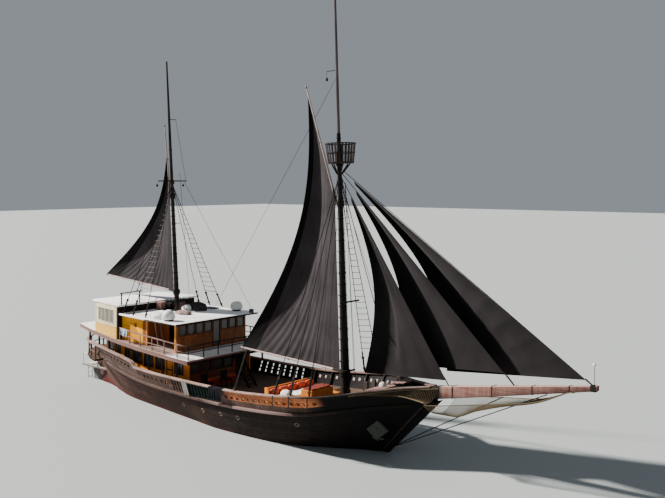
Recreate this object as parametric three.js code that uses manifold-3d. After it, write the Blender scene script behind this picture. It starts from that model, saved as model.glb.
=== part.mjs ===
// A two-masted phinisi: a decked wooden ship with a long bowsprit, two gaff sails and three headsails.
// All sizes are the full-size ship's, in millimetres. The exported group holds them at half size.
// +X is towards the bow, +Y to port, +Z up, and the origin is amidships on the waterline.
import * as THREE from 'three';
import { mergeVertices } from 'three/addons/utils/BufferGeometryUtils.js';
import Module from 'manifold-3d';

const MODEL_SCALE = 1 / 2;
const SEAT = 0.6;
const RUNNING = 24;

// Hull
const KEEL_WIDTH = 280;
const KEEL_BOTTOM = -2500;
const RABBET = -2100;
const STEM_AT_WATER = 14000;
const STEM_RAKE = 0.944;
const POST_AT_WATER = -14640;
const POST_RAKE = -0.46;
const HULL_RINGS = 9;
const WALE_OUT = 70;
const WALE_DEPTH = 190;

// Bulwark, rail and gallery
const BULWARK_THICK = 110;
const BULWARK_AFT = -11400;
const CAP_IN = 250;
const CAP_OUT = 60;
const CAP_THICK = 90;
const SLOT_PITCH = 510;
const SLOT_SIZE = [240, 190];
const SLOT_DROP = 400;

// Houses
const WALL = 80;
const BOAT_DECK_FRONT = 650;
const BOAT_DECK_AFT = -14600;
const BOAT_DECK_THICK = 120;
const LOWER_FRONT = -700;
const LOWER_AFT = -11500;
const LOWER_HALF = 2900;
const LOWER_AFT_HALF = 2050;
const WHEEL_FRONT = -1550;
const WHEEL_AFT = -7800;
const WHEEL_HALF = 3250;
const PORCH_AFT = -5000;
const PORCH_HALF = 1900;
const ROOF_THICK = 130;
const CABIN_FRONT = -7900;
const CABIN_AFT = -11450;

// Spars
const MAIN_FOOT = [10870, 0, 2500];
const MAIN_HEAD = [10290, 0, 19200];
const TOPMAST_HEAD = [9925, 0, 29700];
const MIZZEN_FOOT = [-5190, 0, 2160];
const MIZZEN_TOP = [-6740, 0, 25200];
const BOWSPRIT_HEEL = [12500, 0, 3200];
const BOWSPRIT_TIP = [27400, 0, 5810];

const wasm = await Module();
wasm.setup();

const ship = new THREE.Group();
ship.scale.setScalar(MODEL_SCALE);

const FINISH = {
  hull: { color: 0x4a3a36, roughness: 0.85 },
  rail: { color: 0xb9958e, roughness: 0.85 },
  deck: { color: 0x9c8a74, roughness: 0.9 },
  white: { color: 0xe9e8e4, roughness: 0.6 },
  orange: { color: 0xc4772b, roughness: 0.6 },
  yellow: { color: 0xe6bb58, roughness: 0.6 },
  cream: { color: 0xeed7b2, roughness: 0.6 },
  dark: { color: 0x26221f, roughness: 0.7 },
  spar: { color: 0xc6a48f, roughness: 0.7 },
  sail: { color: 0x4b4144, roughness: 0.95 },
  rope: { color: 0x2b2a2a, roughness: 0.9 },
  net: { color: 0xb9b4a0, roughness: 0.95 },
  iron: { color: 0x3d3f42, roughness: 0.5, metalness: 0.7 },
  bronze: { color: 0x9a7a3c, roughness: 0.35, metalness: 0.9 },
  red: { color: 0xb23a2c, roughness: 0.9 },
};

// Turns a closed geometry into a solid for joining and cutting.
function solid(geometry) {
  const bare = geometry.clone();
  bare.deleteAttribute('normal');
  bare.deleteAttribute('uv');
  const merged = mergeVertices(bare, 0.05);
  return new wasm.Manifold(new wasm.Mesh({
    numProp: 3,
    vertProperties: new Float32Array(merged.attributes.position.array),
    triVerts: new Uint32Array(merged.index.array),
  }));
}

function geometryOf(body) {
  const mesh = body.getMesh();
  const geometry = new THREE.BufferGeometry();
  geometry.setAttribute('position', new THREE.BufferAttribute(new Float32Array(mesh.vertProperties), 3));
  geometry.setIndex(new THREE.BufferAttribute(new Uint32Array(mesh.triVerts), 1));
  geometry.computeVertexNormals();
  return geometry;
}

function join(...geometries) {
  return geometryOf(geometries.map(solid).reduce((whole, next) => whole.add(next)));
}

function cut(geometry, ...tools) {
  return geometryOf(tools.map(solid).reduce((whole, tool) => whole.subtract(tool), solid(geometry)));
}

function add(name, geometry, finish) {
  const mesh = new THREE.Mesh(geometry, new THREE.MeshStandardMaterial(FINISH[finish]));
  mesh.name = name;
  ship.add(mesh);
}

const vec = (point) => new THREE.Vector3(...point);
const along = (a, b, t) => vec(a).lerp(vec(b), t).toArray();
const mirrored = (geometry) => {
  const flipped = geometry.clone();
  flipped.scale(1, -1, 1);
  const index = flipped.index.array;
  for (let i = 0; i < index.length; i += 3) [index[i], index[i + 1]] = [index[i + 1], index[i]];
  return flipped;
};

// A value read from a table of rows, straight between rows; column 0 is x, falling or rising.
function read(table, x, column) {
  const rows = [...table].sort((a, b) => a[0] - b[0]);
  if (x <= rows[0][0]) return rows[0][column];
  for (let i = 1; i < rows.length; i += 1) {
    const [low, high] = [rows[i - 1], rows[i]];
    if (x <= high[0]) return low[column] + (high[column] - low[column]) * (x - low[0]) / (high[0] - low[0]);
  }
  return rows[rows.length - 1][column];
}

function box(x0, x1, y0, y1, z0, z1) {
  const geometry = new THREE.BoxGeometry(x1 - x0, y1 - y0, z1 - z0);
  geometry.translate((x0 + x1) / 2, (y0 + y1) / 2, (z0 + z1) / 2);
  return geometry;
}

// A closed skin through rings of points, each ring running the same way round.
function loft(rings) {
  const size = rings[0].length;
  const points = rings.flat(2);
  const index = [];
  for (let i = 0; i < rings.length - 1; i += 1) {
    for (let j = 0; j < size; j += 1) {
      const [a, b] = [i * size + j, i * size + (j + 1) % size];
      index.push(a, b, b + size, a, b + size, a + size);
    }
  }
  const last = (rings.length - 1) * size;
  const caps = [[0, true], [last, false]];
  for (const [start, first] of caps) {
    const flat = flatten(rings[start / size]);
    for (const [a, b, c] of THREE.ShapeUtils.triangulateShape(flat, [])) {
      const turned = THREE.ShapeUtils.area(flat) > 0;
      const face = [start + a, start + b, start + c];
      if (turned === first) face.reverse();
      index.push(...face);
    }
  }
  const geometry = new THREE.BufferGeometry();
  geometry.setAttribute('position', new THREE.Float32BufferAttribute(points, 3));
  geometry.setIndex(index);
  return outward(geometry);
}

// The ring's points on its own plane, so that its cap can be cut into triangles.
function flatten(ring) {
  const centre = ring.reduce((sum, p) => sum.add(vec(p)), new THREE.Vector3()).divideScalar(ring.length);
  const normal = new THREE.Vector3();
  ring.forEach((p, i) => {
    const next = ring[(i + 1) % ring.length];
    normal.add(vec(p).sub(centre).cross(vec(next).sub(centre)));
  });
  normal.normalize();
  const u = Math.abs(normal.x) > 0.9 ? new THREE.Vector3(0, 1, 0) : new THREE.Vector3(1, 0, 0);
  u.cross(normal).normalize();
  const v = normal.clone().cross(u);
  return ring.map((p) => new THREE.Vector2(vec(p).sub(centre).dot(u), vec(p).sub(centre).dot(v)));
}

function volume(geometry) {
  const p = geometry.attributes.position;
  const index = geometry.index.array;
  let sum = 0;
  const [a, b, c] = [new THREE.Vector3(), new THREE.Vector3(), new THREE.Vector3()];
  for (let i = 0; i < index.length; i += 3) {
    a.fromBufferAttribute(p, index[i]);
    b.fromBufferAttribute(p, index[i + 1]);
    c.fromBufferAttribute(p, index[i + 2]);
    sum += a.dot(b.cross(c)) / 6;
  }
  return sum;
}

function outward(geometry) {
  if (volume(geometry) < 0) geometry.index.array.reverse();
  geometry.computeVertexNormals();
  return geometry;
}

// A round bar between two points, with a radius at each end.
function rod(a, b, radiusA, radiusB = radiusA, sides = 8) {
  const span = vec(b).sub(vec(a));
  const geometry = new THREE.CylinderGeometry(radiusB, radiusA, span.length(), sides);
  geometry.rotateX(Math.PI / 2);
  geometry.lookAt(span.normalize());
  geometry.translate(...along(a, b, 0.5));
  return geometry;
}

// A turned piece about the line from a to b; each profile row is [distance along the line, radius].
function turned(a, b, profile, sides = 12) {
  const points = profile.map(([distance, radius]) => new THREE.Vector2(radius, distance));
  const geometry = new THREE.LatheGeometry(points, sides);
  geometry.rotateX(Math.PI / 2);
  geometry.lookAt(vec(b).sub(vec(a)).normalize());
  geometry.translate(...a);
  return outward(mergeVertices(dropExtras(geometry), 0.05));
}

function dropExtras(geometry) {
  geometry.deleteAttribute('normal');
  geometry.deleteAttribute('uv');
  return geometry;
}

// A flat outline of [x, z] points, as thick as the two y values are apart.
function plate(outline, y0, y1) {
  const front = outline.map(([x, z]) => [x, y0, z]);
  const back = outline.map(([x, z]) => [x, y1, z]);
  return loft([front, back]);
}

// Rail and deck line. Columns: x, half-breadth at the rail, rail height, half-breadth at the deck
// edge, deck height.
const SHEER = [
  [18000, 150, 4450, 140, 3560],
  [17000, 500, 4300, 140, 3420],
  [16000, 1050, 4200, 600, 3270],
  [15000, 1700, 4050, 1150, 3130],
  [14000, 2450, 3900, 1820, 2990],
  [13000, 3250, 3700, 2540, 2820],
  [12000, 3950, 3560, 3200, 2640],
  [11000, 4300, 3450, 3640, 2460],
  [9500, 4400, 3300, 3930, 2300],
  [7500, 4400, 3100, 4030, 2150],
  [5000, 4350, 2920, 4070, 2020],
  [1500, 4350, 2880, 4030, 1950],
  [-2000, 4330, 2900, 3890, 1980],
  [-5000, 4180, 2970, 3680, 2090],
  [-5600, 4130, 3290, 3610, 2120],
  [-8400, 3800, 3600, 3180, 2350],
  [-10500, 3420, 3720, 2650, 2540],
  [-12400, 2980, 3800, 1850, 2700],
  [-13400, 2500, 3830, 1250, 2780],
  [-14400, 1560, 3850, 560, 2840],
  [-15100, 420, 3860, 140, 2880],
];
const RAIL_HALF = 1;
const RAIL_Z = 2;
const DECK_HALF = 3;
const DECK_Z = 4;
const sheer = (x, column) => read(SHEER, x, column);

// Underwater plan. Columns: x, half-breadth at the waterline.
const WATERLINE = [
  [14000, 140], [12900, 560], [11000, 1650], [8500, 2850], [5200, 3300], [3000, 3330], [0, 2980],
  [-3000, 2570], [-6000, 2200], [-8700, 1780], [-10800, 1150], [-12400, 560], [-13800, 240], [-14640, 140],
];

// Boat deck. Columns: x, half-breadth, deck height.
const BOAT_DECK = [
  [BOAT_DECK_FRONT, 4130, 4230], [-1000, 4150, 4310], [-5000, 4030, 4500], [-8000, 3720, 4640],
  [-10000, 3400, 4735], [-12400, 2900, 4850], [BOAT_DECK_AFT, 2300, 4950],
];
const boatDeck = (x, column) => read(BOAT_DECK, x, column);

// Keel line of the planking: level, with a curved forefoot and a raked sternpost.
const FOREFOOT = [[9200, RABBET], [10600, -1950], [12000, -1450], [13100, -800], [STEM_AT_WATER, 0]];
function planking(x) {
  if (x > STEM_AT_WATER) return (x - STEM_AT_WATER) / STEM_RAKE;
  if (x > FOREFOOT[0][0]) return read(FOREFOOT, x, 1);
  const post = (x - POST_AT_WATER) / POST_RAKE;
  return Math.max(RABBET, post);
}

const HULL_STATIONS = [
  17300, 17000, 16000, 15000, 14000, 13000, 12000, 11000, 9500, 7500, 5000, 1500, -2000, -5000, -5600,
  -8400, -10500, -12400, -13400, -14400, -15100, -15560,
];

function hullRing(x) {
  const deckZ = sheer(x, DECK_Z);
  const deckHalf = sheer(x, DECK_HALF);
  const bottom = Math.min(planking(x), deckZ - 260);
  const water = Math.max(read(WATERLINE, x, 1), KEEL_WIDTH / 2);
  const share = bottom < -300 ? (0 - bottom) / (deckZ - bottom) : 0;
  const power = share > 0 ? Math.log(water / deckHalf) / Math.log(share) : 1.15;
  const half = [];
  for (let i = 0; i <= HULL_RINGS; i += 1) {
    const t = (i / HULL_RINGS) ** 1.35;
    const z = bottom + (deckZ - WALE_DEPTH - bottom) * t;
    const level = (z - bottom) / (deckZ - bottom);
    half.push([Math.max(KEEL_WIDTH / 2, deckHalf * level ** power), z]);
  }
  const edge = Math.max(KEEL_WIDTH / 2, deckHalf);
  half.push([edge + WALE_OUT, deckZ - WALE_DEPTH + 25], [edge + WALE_OUT, deckZ - 25], [edge, deckZ]);
  const port = half.map(([y, z]) => [x, y, z]);
  const starboard = half.map(([y, z]) => [x, -y, z]).reverse();
  return [...port, ...starboard];
}

const stemX = (z) => STEM_AT_WATER + STEM_RAKE * z;
const postX = (z) => POST_AT_WATER + POST_RAKE * z;
const STEM_FACE = 260;
const STEM_INSIDE = 500;
const POST_TOP = 2000;
const HEEL_AFT = -14450;
const HEEL_TOP = -2300;

// The stem, keel and sternpost as one curved timber of even width.
function keelTimber(extra = 0) {
  const outside = [
    [stemX(4050) + STEM_FACE - 40, 3700], [stemX(0) + STEM_FACE, 0], [13350, -1000], [12200, -1750],
    [10700, -2300], [9200, KEEL_BOTTOM], [HEEL_AFT, KEEL_BOTTOM], [HEEL_AFT, HEEL_TOP],
    [postX(HEEL_TOP), HEEL_TOP], [postX(POST_TOP), POST_TOP],
  ];
  const inside = [
    [postX(POST_TOP) + STEM_INSIDE, POST_TOP], [postX(-1700) + STEM_INSIDE, -1700], [9000, -1700],
    [11400, -1200], [stemX(0) - STEM_INSIDE, 0], [stemX(3300) - STEM_INSIDE, 3300],
  ];
  return plate([...outside, ...inside], -KEEL_WIDTH / 2 - extra, KEEL_WIDTH / 2 + extra);
}

// The gallery floor spreads past the pointed stern at deck height.
const GALLERY_STATIONS = [BULWARK_AFT, -12400, -13400, -14400, -15100];
function galleryFloor() {
  return loft(GALLERY_STATIONS.map((x) => {
    const half = sheer(x, RAIL_HALF) - 40;
    const z = sheer(x, DECK_Z);
    return [[x, -half, z - 150], [x, half, z - 150], [x, half, z], [x, -half, z]];
  }));
}

// Propeller and the opening for it ahead of the sternpost.
const PROP_CENTRE = [postX(-1150) + 640, 0, -1150];
const PROP_RADIUS = 600;
const [WELL_LOW, WELL_HIGH] = [-1870, -430];
const APERTURE = [
  [postX(WELL_LOW) + 230, WELL_LOW], [postX(WELL_LOW) + 1050, WELL_LOW],
  [postX(WELL_HIGH) + 1050, WELL_HIGH], [postX(WELL_HIGH) + 230, WELL_HIGH],
];

function hullBody() {
  const skin = loft(HULL_STATIONS.map(hullRing));
  const timbered = join(skin, keelTimber(), galleryFloor());
  const opened = cut(timbered, plate(APERTURE, -900, 900), bowspritBar(SEAT));
  const boss = rod([PROP_CENTRE[0] + 700, 0, -1150], [PROP_CENTRE[0] + 180, 0, -1150], 170, 110, 12);
  return join(opened, boss);
}

// Bowsprit: a tapered bar of square section. Columns: share of length, half-width, half-depth.
const BOWSPRIT = [[0, 290, 330], [0.38, 290, 350], [0.64, 260, 270], [1, 150, 135]];
function bowspritBar(extra) {
  return loft(BOWSPRIT.map(([t, width, depth]) => {
    const reach = t === 0 ? -extra : (t === 1 ? extra : 0);
    const [x, , z] = along(BOWSPRIT_HEEL, BOWSPRIT_TIP, t);
    const [w, d] = [width + extra, depth + extra];
    return [[x + reach, -w, z - d], [x + reach, w, z - d], [x + reach, w, z + d], [x + reach, -w, z + d]];
  }));
}

// Bulwarks: planked walls between the deck edge and the rail, with a row of slots below the cap.
const BULWARK_STATIONS = [
  17600, 17000, 16000, 15000, 14000, 13000, 12000, 11000, 9500, 7500, 5000, 1500, -2000, -5000, -5600,
  -8400, -10500, BULWARK_AFT,
];
const GATE = { fore: 3900, aft: -900, bars: 16, barWidth: 90 };

function bulwark() {
  const wall = loft(BULWARK_STATIONS.map((x) => {
    const foot = sheer(x, DECK_Z) + 2 * SEAT;
    const top = sheer(x, RAIL_Z);
    const footHalf = Math.max(sheer(x, DECK_HALF), KEEL_WIDTH / 2 + BULWARK_THICK + 10);
    const railHalf = Math.max(sheer(x, RAIL_HALF), footHalf);
    const middle = (footHalf + railHalf) / 2;
    return [
      [x, footHalf, foot], [x, middle, (foot + top) / 2], [x, railHalf, top],
      [x, railHalf - BULWARK_THICK, top], [x, middle - BULWARK_THICK, (foot + top) / 2],
      [x, footHalf - BULWARK_THICK, foot],
    ];
  }));
  const slots = [];
  for (let x = BULWARK_AFT + 500; x < 11800; x += SLOT_PITCH) {
    const nearGate = x > GATE.aft - 600 && x < GATE.fore + 400;
    const nearStep = x > -6300 && x < -4700;
    if (!nearGate && !nearStep) {
      const z = sheer(x + SLOT_SIZE[0] / 2, RAIL_Z) - SLOT_DROP;
      slots.push(box(x, x + SLOT_SIZE[0], 2000, 5000, z - SLOT_SIZE[1] / 2, z + SLOT_SIZE[1] / 2));
    }
  }
  const bars = [];
  const pitch = (GATE.fore - GATE.aft) / GATE.bars;
  for (let x = GATE.aft; x < GATE.fore - 1; x += pitch) {
    bars.push(box(x, x + pitch - GATE.barWidth, 2000, 5000, sheer(x, DECK_Z) + 130, sheer(x, RAIL_Z) - 90));
  }
  return cut(wall, ...slots, ...bars, bowspritBar(SEAT));
}

// The cap rail runs from the bow round the stern in one piece.
function capRail() {
  const side = SHEER.filter(([x]) => x < 17500).map(([x, half, z]) => {
    const [inner, outer] = [Math.max(half - CAP_IN, 120), half + CAP_OUT];
    return [[x, outer, z + SEAT], [x, outer, z + CAP_THICK], [x, inner, z + CAP_THICK], [x, inner, z + SEAT]];
  });
  const turnZ = SHEER[SHEER.length - 1][RAIL_Z];
  const outerX = SHEER[SHEER.length - 1][0] - 160;
  const stern = [
    [outerX, 0, turnZ + SEAT], [outerX, 0, turnZ + CAP_THICK],
    [outerX + 310, 0, turnZ + CAP_THICK], [outerX + 310, 0, turnZ + SEAT],
  ];
  const last = side.length - 1;
  side[last] = side[last].map(([x, y, z], i) => (i < 2 ? [x, y, z] : [x + 240, 260, z]));
  const other = side.map((ring) => ring.map(([x, y, z]) => [x, -y, z])).reverse();
  return cut(loft([...side, stern, ...other]), bowspritBar(SEAT));
}

// Lower deckhouse: walls from the main deck to the boat deck, with doors and windows cut out.
const boatDeckUnder = (x) => boatDeck(x, 2) - BOAT_DECK_THICK;
const DOOR_WIDTH = 780;
const DOOR_TOP = 1750;
const DOOR_GAP = 15;
const SILL = 110;

// House windows on each side. Columns: low x, high x, sill above the deck, head below the deckhead.
const LOWER_WINDOWS = [
  [-1300, -2200, 850, 250], [-3300, -4300, 850, 250], [-4600, -5600, 850, 250], [-5900, -6900, 850, 250],
  [-7300, -7900, 850, 250], [-8700, -9700, 850, 250], [-10000, -10900, 850, 250],
];
const LOWER_DOOR = [-3150, -2370];
const LOWER_SIDE = [[LOWER_FRONT, LOWER_HALF], [-8000, LOWER_HALF], [LOWER_AFT, LOWER_AFT_HALF]];

function lowerSide() {
  const stations = [LOWER_FRONT, -2000, -5000, -5600, -8000, -8400, -10500, LOWER_AFT];
  const wall = loft(stations.map((x) => {
    const half = read(LOWER_SIDE, x, 1);
    const [foot, top] = [sheer(x, DECK_Z) + SEAT, boatDeckUnder(x) - SEAT];
    return [[x, half, foot], [x, half, top], [x, half - WALL, top], [x, half - WALL, foot]];
  }));
  const openings = LOWER_WINDOWS.map(([x1, x0, sill, head]) => {
    const middle = (x0 + x1) / 2;
    return box(x0, x1, 1500, 3500, sheer(middle, DECK_Z) + sill, boatDeckUnder(middle) - head);
  });
  const [aft, fore] = LOWER_DOOR;
  const foot = sheer(fore, DECK_Z) + SILL;
  openings.push(box(aft, fore, 1500, 3500, foot, foot + DOOR_TOP));
  return cut(wall, ...openings);
}

function lowerEnd(x, half, openings) {
  const foot = Math.max(sheer(x, DECK_Z), sheer(x + WALL, DECK_Z)) + SEAT;
  const reach = half - WALL - SEAT;
  const wall = box(x, x + WALL, -reach, reach, foot, boatDeckUnder(x + WALL) - SEAT);
  return cut(wall, ...openings.map(([y0, y1, z0, z1]) => box(x - 50, x + WALL + 50, y0, y1, z0, z1)));
}

// A hinged leaf in a wall that runs along X; its knuckles stand off the wall's outer face.
const KNUCKLE = 28;
const LEAF = 50;
function sideDoor(hingeX, width, face, foot, height) {
  const reach = Math.sign(width);
  const edges = [hingeX + reach * DOOR_GAP, hingeX + width - reach * DOOR_GAP].sort((a, b) => a - b);
  const parts = [box(...edges, face - LEAF, face, foot + DOOR_GAP, foot + height - DOOR_GAP)];
  const pinY = face + KNUCKLE + SEAT;
  for (const z of [foot + 250, foot + height - 450]) {
    parts.push(rod([hingeX, pinY, z], [hingeX, pinY, z + 200], KNUCKLE, KNUCKLE, 8));
    const strap = [hingeX, hingeX + reach * 140].sort((a, b) => a - b);
    parts.push(box(strap[0], strap[1], face - 10, pinY, z + 30, z + 170));
  }
  return join(...parts);
}

// Boat deck: a slab with a fascia plank along each side, holed for the mizzen mast.
const BOAT_STATIONS = [BOAT_DECK_FRONT, -1000, -5000, -8000, -10000, -12400, BOAT_DECK_AFT];
const FASCIA = 250;
function boatDeckSlab() {
  const slab = loft(BOAT_STATIONS.map((x) => {
    const [half, z] = [boatDeck(x, 1), boatDeck(x, 2)];
    return [[x, half, z - BOAT_DECK_THICK], [x, half, z], [x, -half, z], [x, -half, z - BOAT_DECK_THICK]];
  }));
  const fascia = loft(BOAT_STATIONS.map((x) => {
    const [half, z] = [boatDeck(x, 1), boatDeck(x, 2)];
    return [[x, half, z - FASCIA], [x, half, z], [x, half + 50, z], [x, half + 50, z - FASCIA]];
  }));
  return cut(join(slab, fascia, mirrored(fascia)), mizzenMast(SEAT));
}

// Posts on the cap rail carry the boat deck's edge. Columns: x.
const POSTS = [-600, -2150, -3700, -5900, -8000, -9200, -10900, -12700];
const POST = 110;
function sideFrame() {
  const header = loft(BOAT_STATIONS.map((x) => {
    const [half, z] = [boatDeck(x, 1) - 60, boatDeckUnder(x) - SEAT];
    return [[x, half - POST, z - 140], [x, half - POST, z], [x, half, z], [x, half, z - 140]];
  }));
  const posts = POSTS.map((x) => {
    const y = boatDeck(x, 1) - 60 - POST / 2;
    const foot = Math.max(sheer(x - POST / 2, RAIL_Z), sheer(x + POST / 2, RAIL_Z)) + CAP_THICK + SEAT;
    return box(x - POST / 2, x + POST / 2, y - POST / 2 + 5, y + POST / 2 - 5, foot, boatDeckUnder(x) - 100);
  });
  return join(header, ...posts);
}

// Railing round the open part of the boat deck, in one run from quarter to quarter.
const RAILING_AFT = -7500;
const RAILING_TOP = 900;
const RAIL_BAR = 60;
const RAIL_POST = 56;
function railingPost(x, y) {
  const [reach, top] = [RAIL_POST / 2, boatDeck(x, 2) + RAILING_TOP];
  return box(x - reach, x + reach, y - reach, y + reach, boatDeck(x - reach, 2) + SEAT, top);
}
function boatDeckRailing() {
  const xs = [RAILING_AFT, -5000, -3000, -1000, BOAT_DECK_FRONT - 120];
  const bar = (lift, depth) => {
    const side = xs.map((x) => {
      const [half, z] = [boatDeck(x, 1) - 40, boatDeck(x, 2) + lift];
      return [[x, half, z], [x, half, z + depth], [x, half - RAIL_BAR, z + depth], [x, half - RAIL_BAR, z]];
    });
    const corner = side[side.length - 1];
    corner[2][0] -= RAIL_BAR;
    corner[3][0] -= RAIL_BAR;
    const other = side.map((ring) => ring.map(([x, y, z]) => [x, -y, z])).reverse();
    return loft([...side, ...other]);
  };
  const posts = [];
  for (const x of [RAILING_AFT + 40, -6100, -4700, -3300, -1900, -500]) {
    const y = boatDeck(x, 1) - 40 - RAIL_BAR / 2;
    for (const side of [1, -1]) {
      posts.push(railingPost(x, side * y));
    }
  }
  const frontX = BOAT_DECK_FRONT - 120 - RAIL_BAR / 2;
  for (const y of [-3950, -2600, -1300, 0, 1200, 2600, 3950]) posts.push(railingPost(frontX, y));
  return join(bar(RAILING_TOP - 20, 70), bar(460, 50), ...posts);
}

// Roofs of the upper houses, as slabs. Columns: x, half-breadth, top.
const WHEEL_ROOF = [[-900, 3870, 6470], [-4500, 3850, 6520], [-7710, 3615, 6540]];
const CABIN_ROOF = [[-7450, 3830, 7170], [-11800, 3100, 7170]];
const wallTop = (table, x) => read(table, x, 2) - ROOF_THICK - SEAT;
function roof(stations) {
  return loft(stations.map(([x, half, z]) => {
    const under = z - ROOF_THICK;
    return [[x, half, under], [x, half, z], [x, -half, z], [x, -half, under]];
  }));
}

// Upper front house: a windowed front, plain side panels aft and an open porch at each front corner.
const FRONT_PANES = 8;
const FRONT_DOOR = 4;
function wheelFront() {
  const foot = boatDeck(WHEEL_FRONT - WALL, 2) + SEAT;
  const top = wallTop(WHEEL_ROOF, WHEEL_FRONT);
  const wall = box(WHEEL_FRONT - WALL, WHEEL_FRONT, -WHEEL_HALF, WHEEL_HALF, foot, top);
  const [panes, margin, mullion] = [[], 150, 60];
  const pitch = 2 * (WHEEL_HALF - margin) / FRONT_PANES;
  for (let i = 0; i < FRONT_PANES; i += 1) {
    const y = -WHEEL_HALF + margin + i * pitch;
    const sill = foot + (i === FRONT_DOOR ? 130 : 1150);
    const [low, high] = [y + mullion, y + pitch - mullion];
    panes.push(box(WHEEL_FRONT - 200, WHEEL_FRONT + 100, low, high, sill, foot + 1850));
  }
  return cut(wall, ...panes);
}

const WHEEL_DOOR = [-4100, -3320];
function wheelSide() {
  const run = (xs, half) => loft(xs.map((x) => {
    const [foot, top] = [boatDeck(x, 2) + SEAT, wallTop(WHEEL_ROOF, x)];
    const inner = half - WALL;
    return [[x, half, foot], [x, half, top], [x, inner, top], [x, inner, foot]];
  }));
  const panel = run([WHEEL_AFT, PORCH_AFT], WHEEL_HALF);
  const inner = run([PORCH_AFT - WALL, PORCH_AFT, WHEEL_FRONT - WALL - SEAT], PORCH_HALF);
  const foot = boatDeck(PORCH_AFT - WALL, 2) + SEAT;
  const top = wallTop(WHEEL_ROOF, PORCH_AFT);
  const cross = box(PORCH_AFT - WALL, PORCH_AFT, PORCH_HALF - WALL, WHEEL_HALF, foot, top);
  const vent = box(-6300, -6080, 3000, 3500, foot + 1150, foot + 1370);
  const pane = box(-2700, -2000, 1500, 2200, foot + 900, foot + 1600);
  const [doorAft, doorFore] = WHEEL_DOOR;
  const doorway = box(doorAft, doorFore, 1500, 2200, foot + 60, foot + 60 + DOOR_TOP - 150);
  return cut(join(panel, cross, inner), vent, pane, doorway);
}

// Aft cabin: its sides stand at the boat deck's edge.
const CABIN_INSET = 30;
function cabinSide() {
  const wall = loft([CABIN_FRONT, -8000, -10000, CABIN_AFT].map((x) => {
    const [half, foot] = [boatDeck(x, 1) - CABIN_INSET, boatDeck(x, 2) + SEAT];
    const top = wallTop(CABIN_ROOF, x);
    return [[x, half, foot], [x, half, top], [x, half - WALL, top], [x, half - WALL, foot]];
  }));
  const panes = [];
  for (let x = CABIN_FRONT - 950; x > CABIN_AFT + 200; x -= 830) {
    panes.push(box(x, x + 620, 2500, 4000, 5650, 6750));
  }
  return cut(wall, ...panes);
}

function cabinEnd(x, doorway) {
  const half = boatDeck(x, 1) - CABIN_INSET - WALL - SEAT - 20;
  const foot = Math.max(boatDeck(x, 2), boatDeck(x + WALL, 2)) + SEAT;
  const wall = box(x, x + WALL, -half, half, foot, wallTop(CABIN_ROOF, x));
  return cut(wall, ...doorway.map(([y0, y1, sill, head]) => (
    box(x - 50, x + WALL + 50, y0, y1, foot + sill, foot + head)
  )));
}

// Masts. Profile rows: [distance up the mast, radius].
const MAIN_LENGTH = vec(MAIN_HEAD).distanceTo(vec(MAIN_FOOT));
const BOOM_HEIGHT = 1720;
const GAFF_HEIGHT = 12250;
const NEST_HEIGHT = 14800;
function mainRadius(height) {
  return 285 - 160 * height / MAIN_LENGTH;
}
function boss(height, radius) {
  const wide = radius(height) + 70;
  return [[height - 160, radius(height)], [height - 160, wide], [height, wide], [height, radius(height)]];
}
function mainMast(extra = 0) {
  const rows = [
    [0, 0], [0, mainRadius(0)], ...boss(BOOM_HEIGHT, mainRadius), ...boss(GAFF_HEIGHT, mainRadius),
    ...boss(NEST_HEIGHT, mainRadius), [MAIN_LENGTH, mainRadius(MAIN_LENGTH)], [MAIN_LENGTH, 0],
  ];
  return turned(MAIN_FOOT, MAIN_HEAD, rows.map(([d, r]) => [d, r > 0 ? r + extra : 0]), 16);
}

const MIZZEN_LENGTH = vec(MIZZEN_TOP).distanceTo(vec(MIZZEN_FOOT));
const MIZZEN_BOOM_HEIGHT = 5750;
const MIZZEN_GAFF_HEIGHT = 12900;
const CROSSTREE_HEIGHT = 14000;
const mizzenRadius = (height) => 225 - 165 * height / MIZZEN_LENGTH;
function mizzenMast(extra = 0) {
  const rows = [
    [-extra, 0], [-extra, mizzenRadius(0)], ...boss(MIZZEN_BOOM_HEIGHT, mizzenRadius),
    ...boss(MIZZEN_GAFF_HEIGHT, mizzenRadius),
    ...boss(CROSSTREE_HEIGHT, mizzenRadius), [MIZZEN_LENGTH + extra, mizzenRadius(MIZZEN_LENGTH)],
    [MIZZEN_LENGTH + extra, 0],
  ];
  return turned(MIZZEN_FOOT, MIZZEN_TOP, rows.map(([d, r]) => [d, r > 0 ? r + extra : 0]), 12);
}

// Where a spar starts: on the outside of its ring on the mast, on the spar's own line.
const RING_WALL = 66;
const RING_TALL = 220;
const ringOuter = (radius, height) => radius(height) + RUNNING + RING_WALL;
const sparStart = (foot, head, height, aft) => beside(foot, head, height + SEAT + RING_TALL / 2, aft);

// A spar that swings about a mast: a ring round the mast, resting on the mast's shoulder, and the spar.
function swingingSpar(foot, head, height, radius, start, end, sparRadius) {
  const seat = beside(foot, head, height + SEAT, 0);
  const top = beside(foot, head, height + SEAT + RING_TALL, 0);
  const [inner, outer] = [radius(height) + RUNNING, ringOuter(radius, height)];
  const profile = [[0, inner], [0, outer], [RING_TALL, outer], [RING_TALL, inner], [0, inner]];
  const ring = turned(seat, top, profile, 16);
  return join(ring, rod(start, end, sparRadius[0], sparRadius[1], 12));
}

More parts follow.
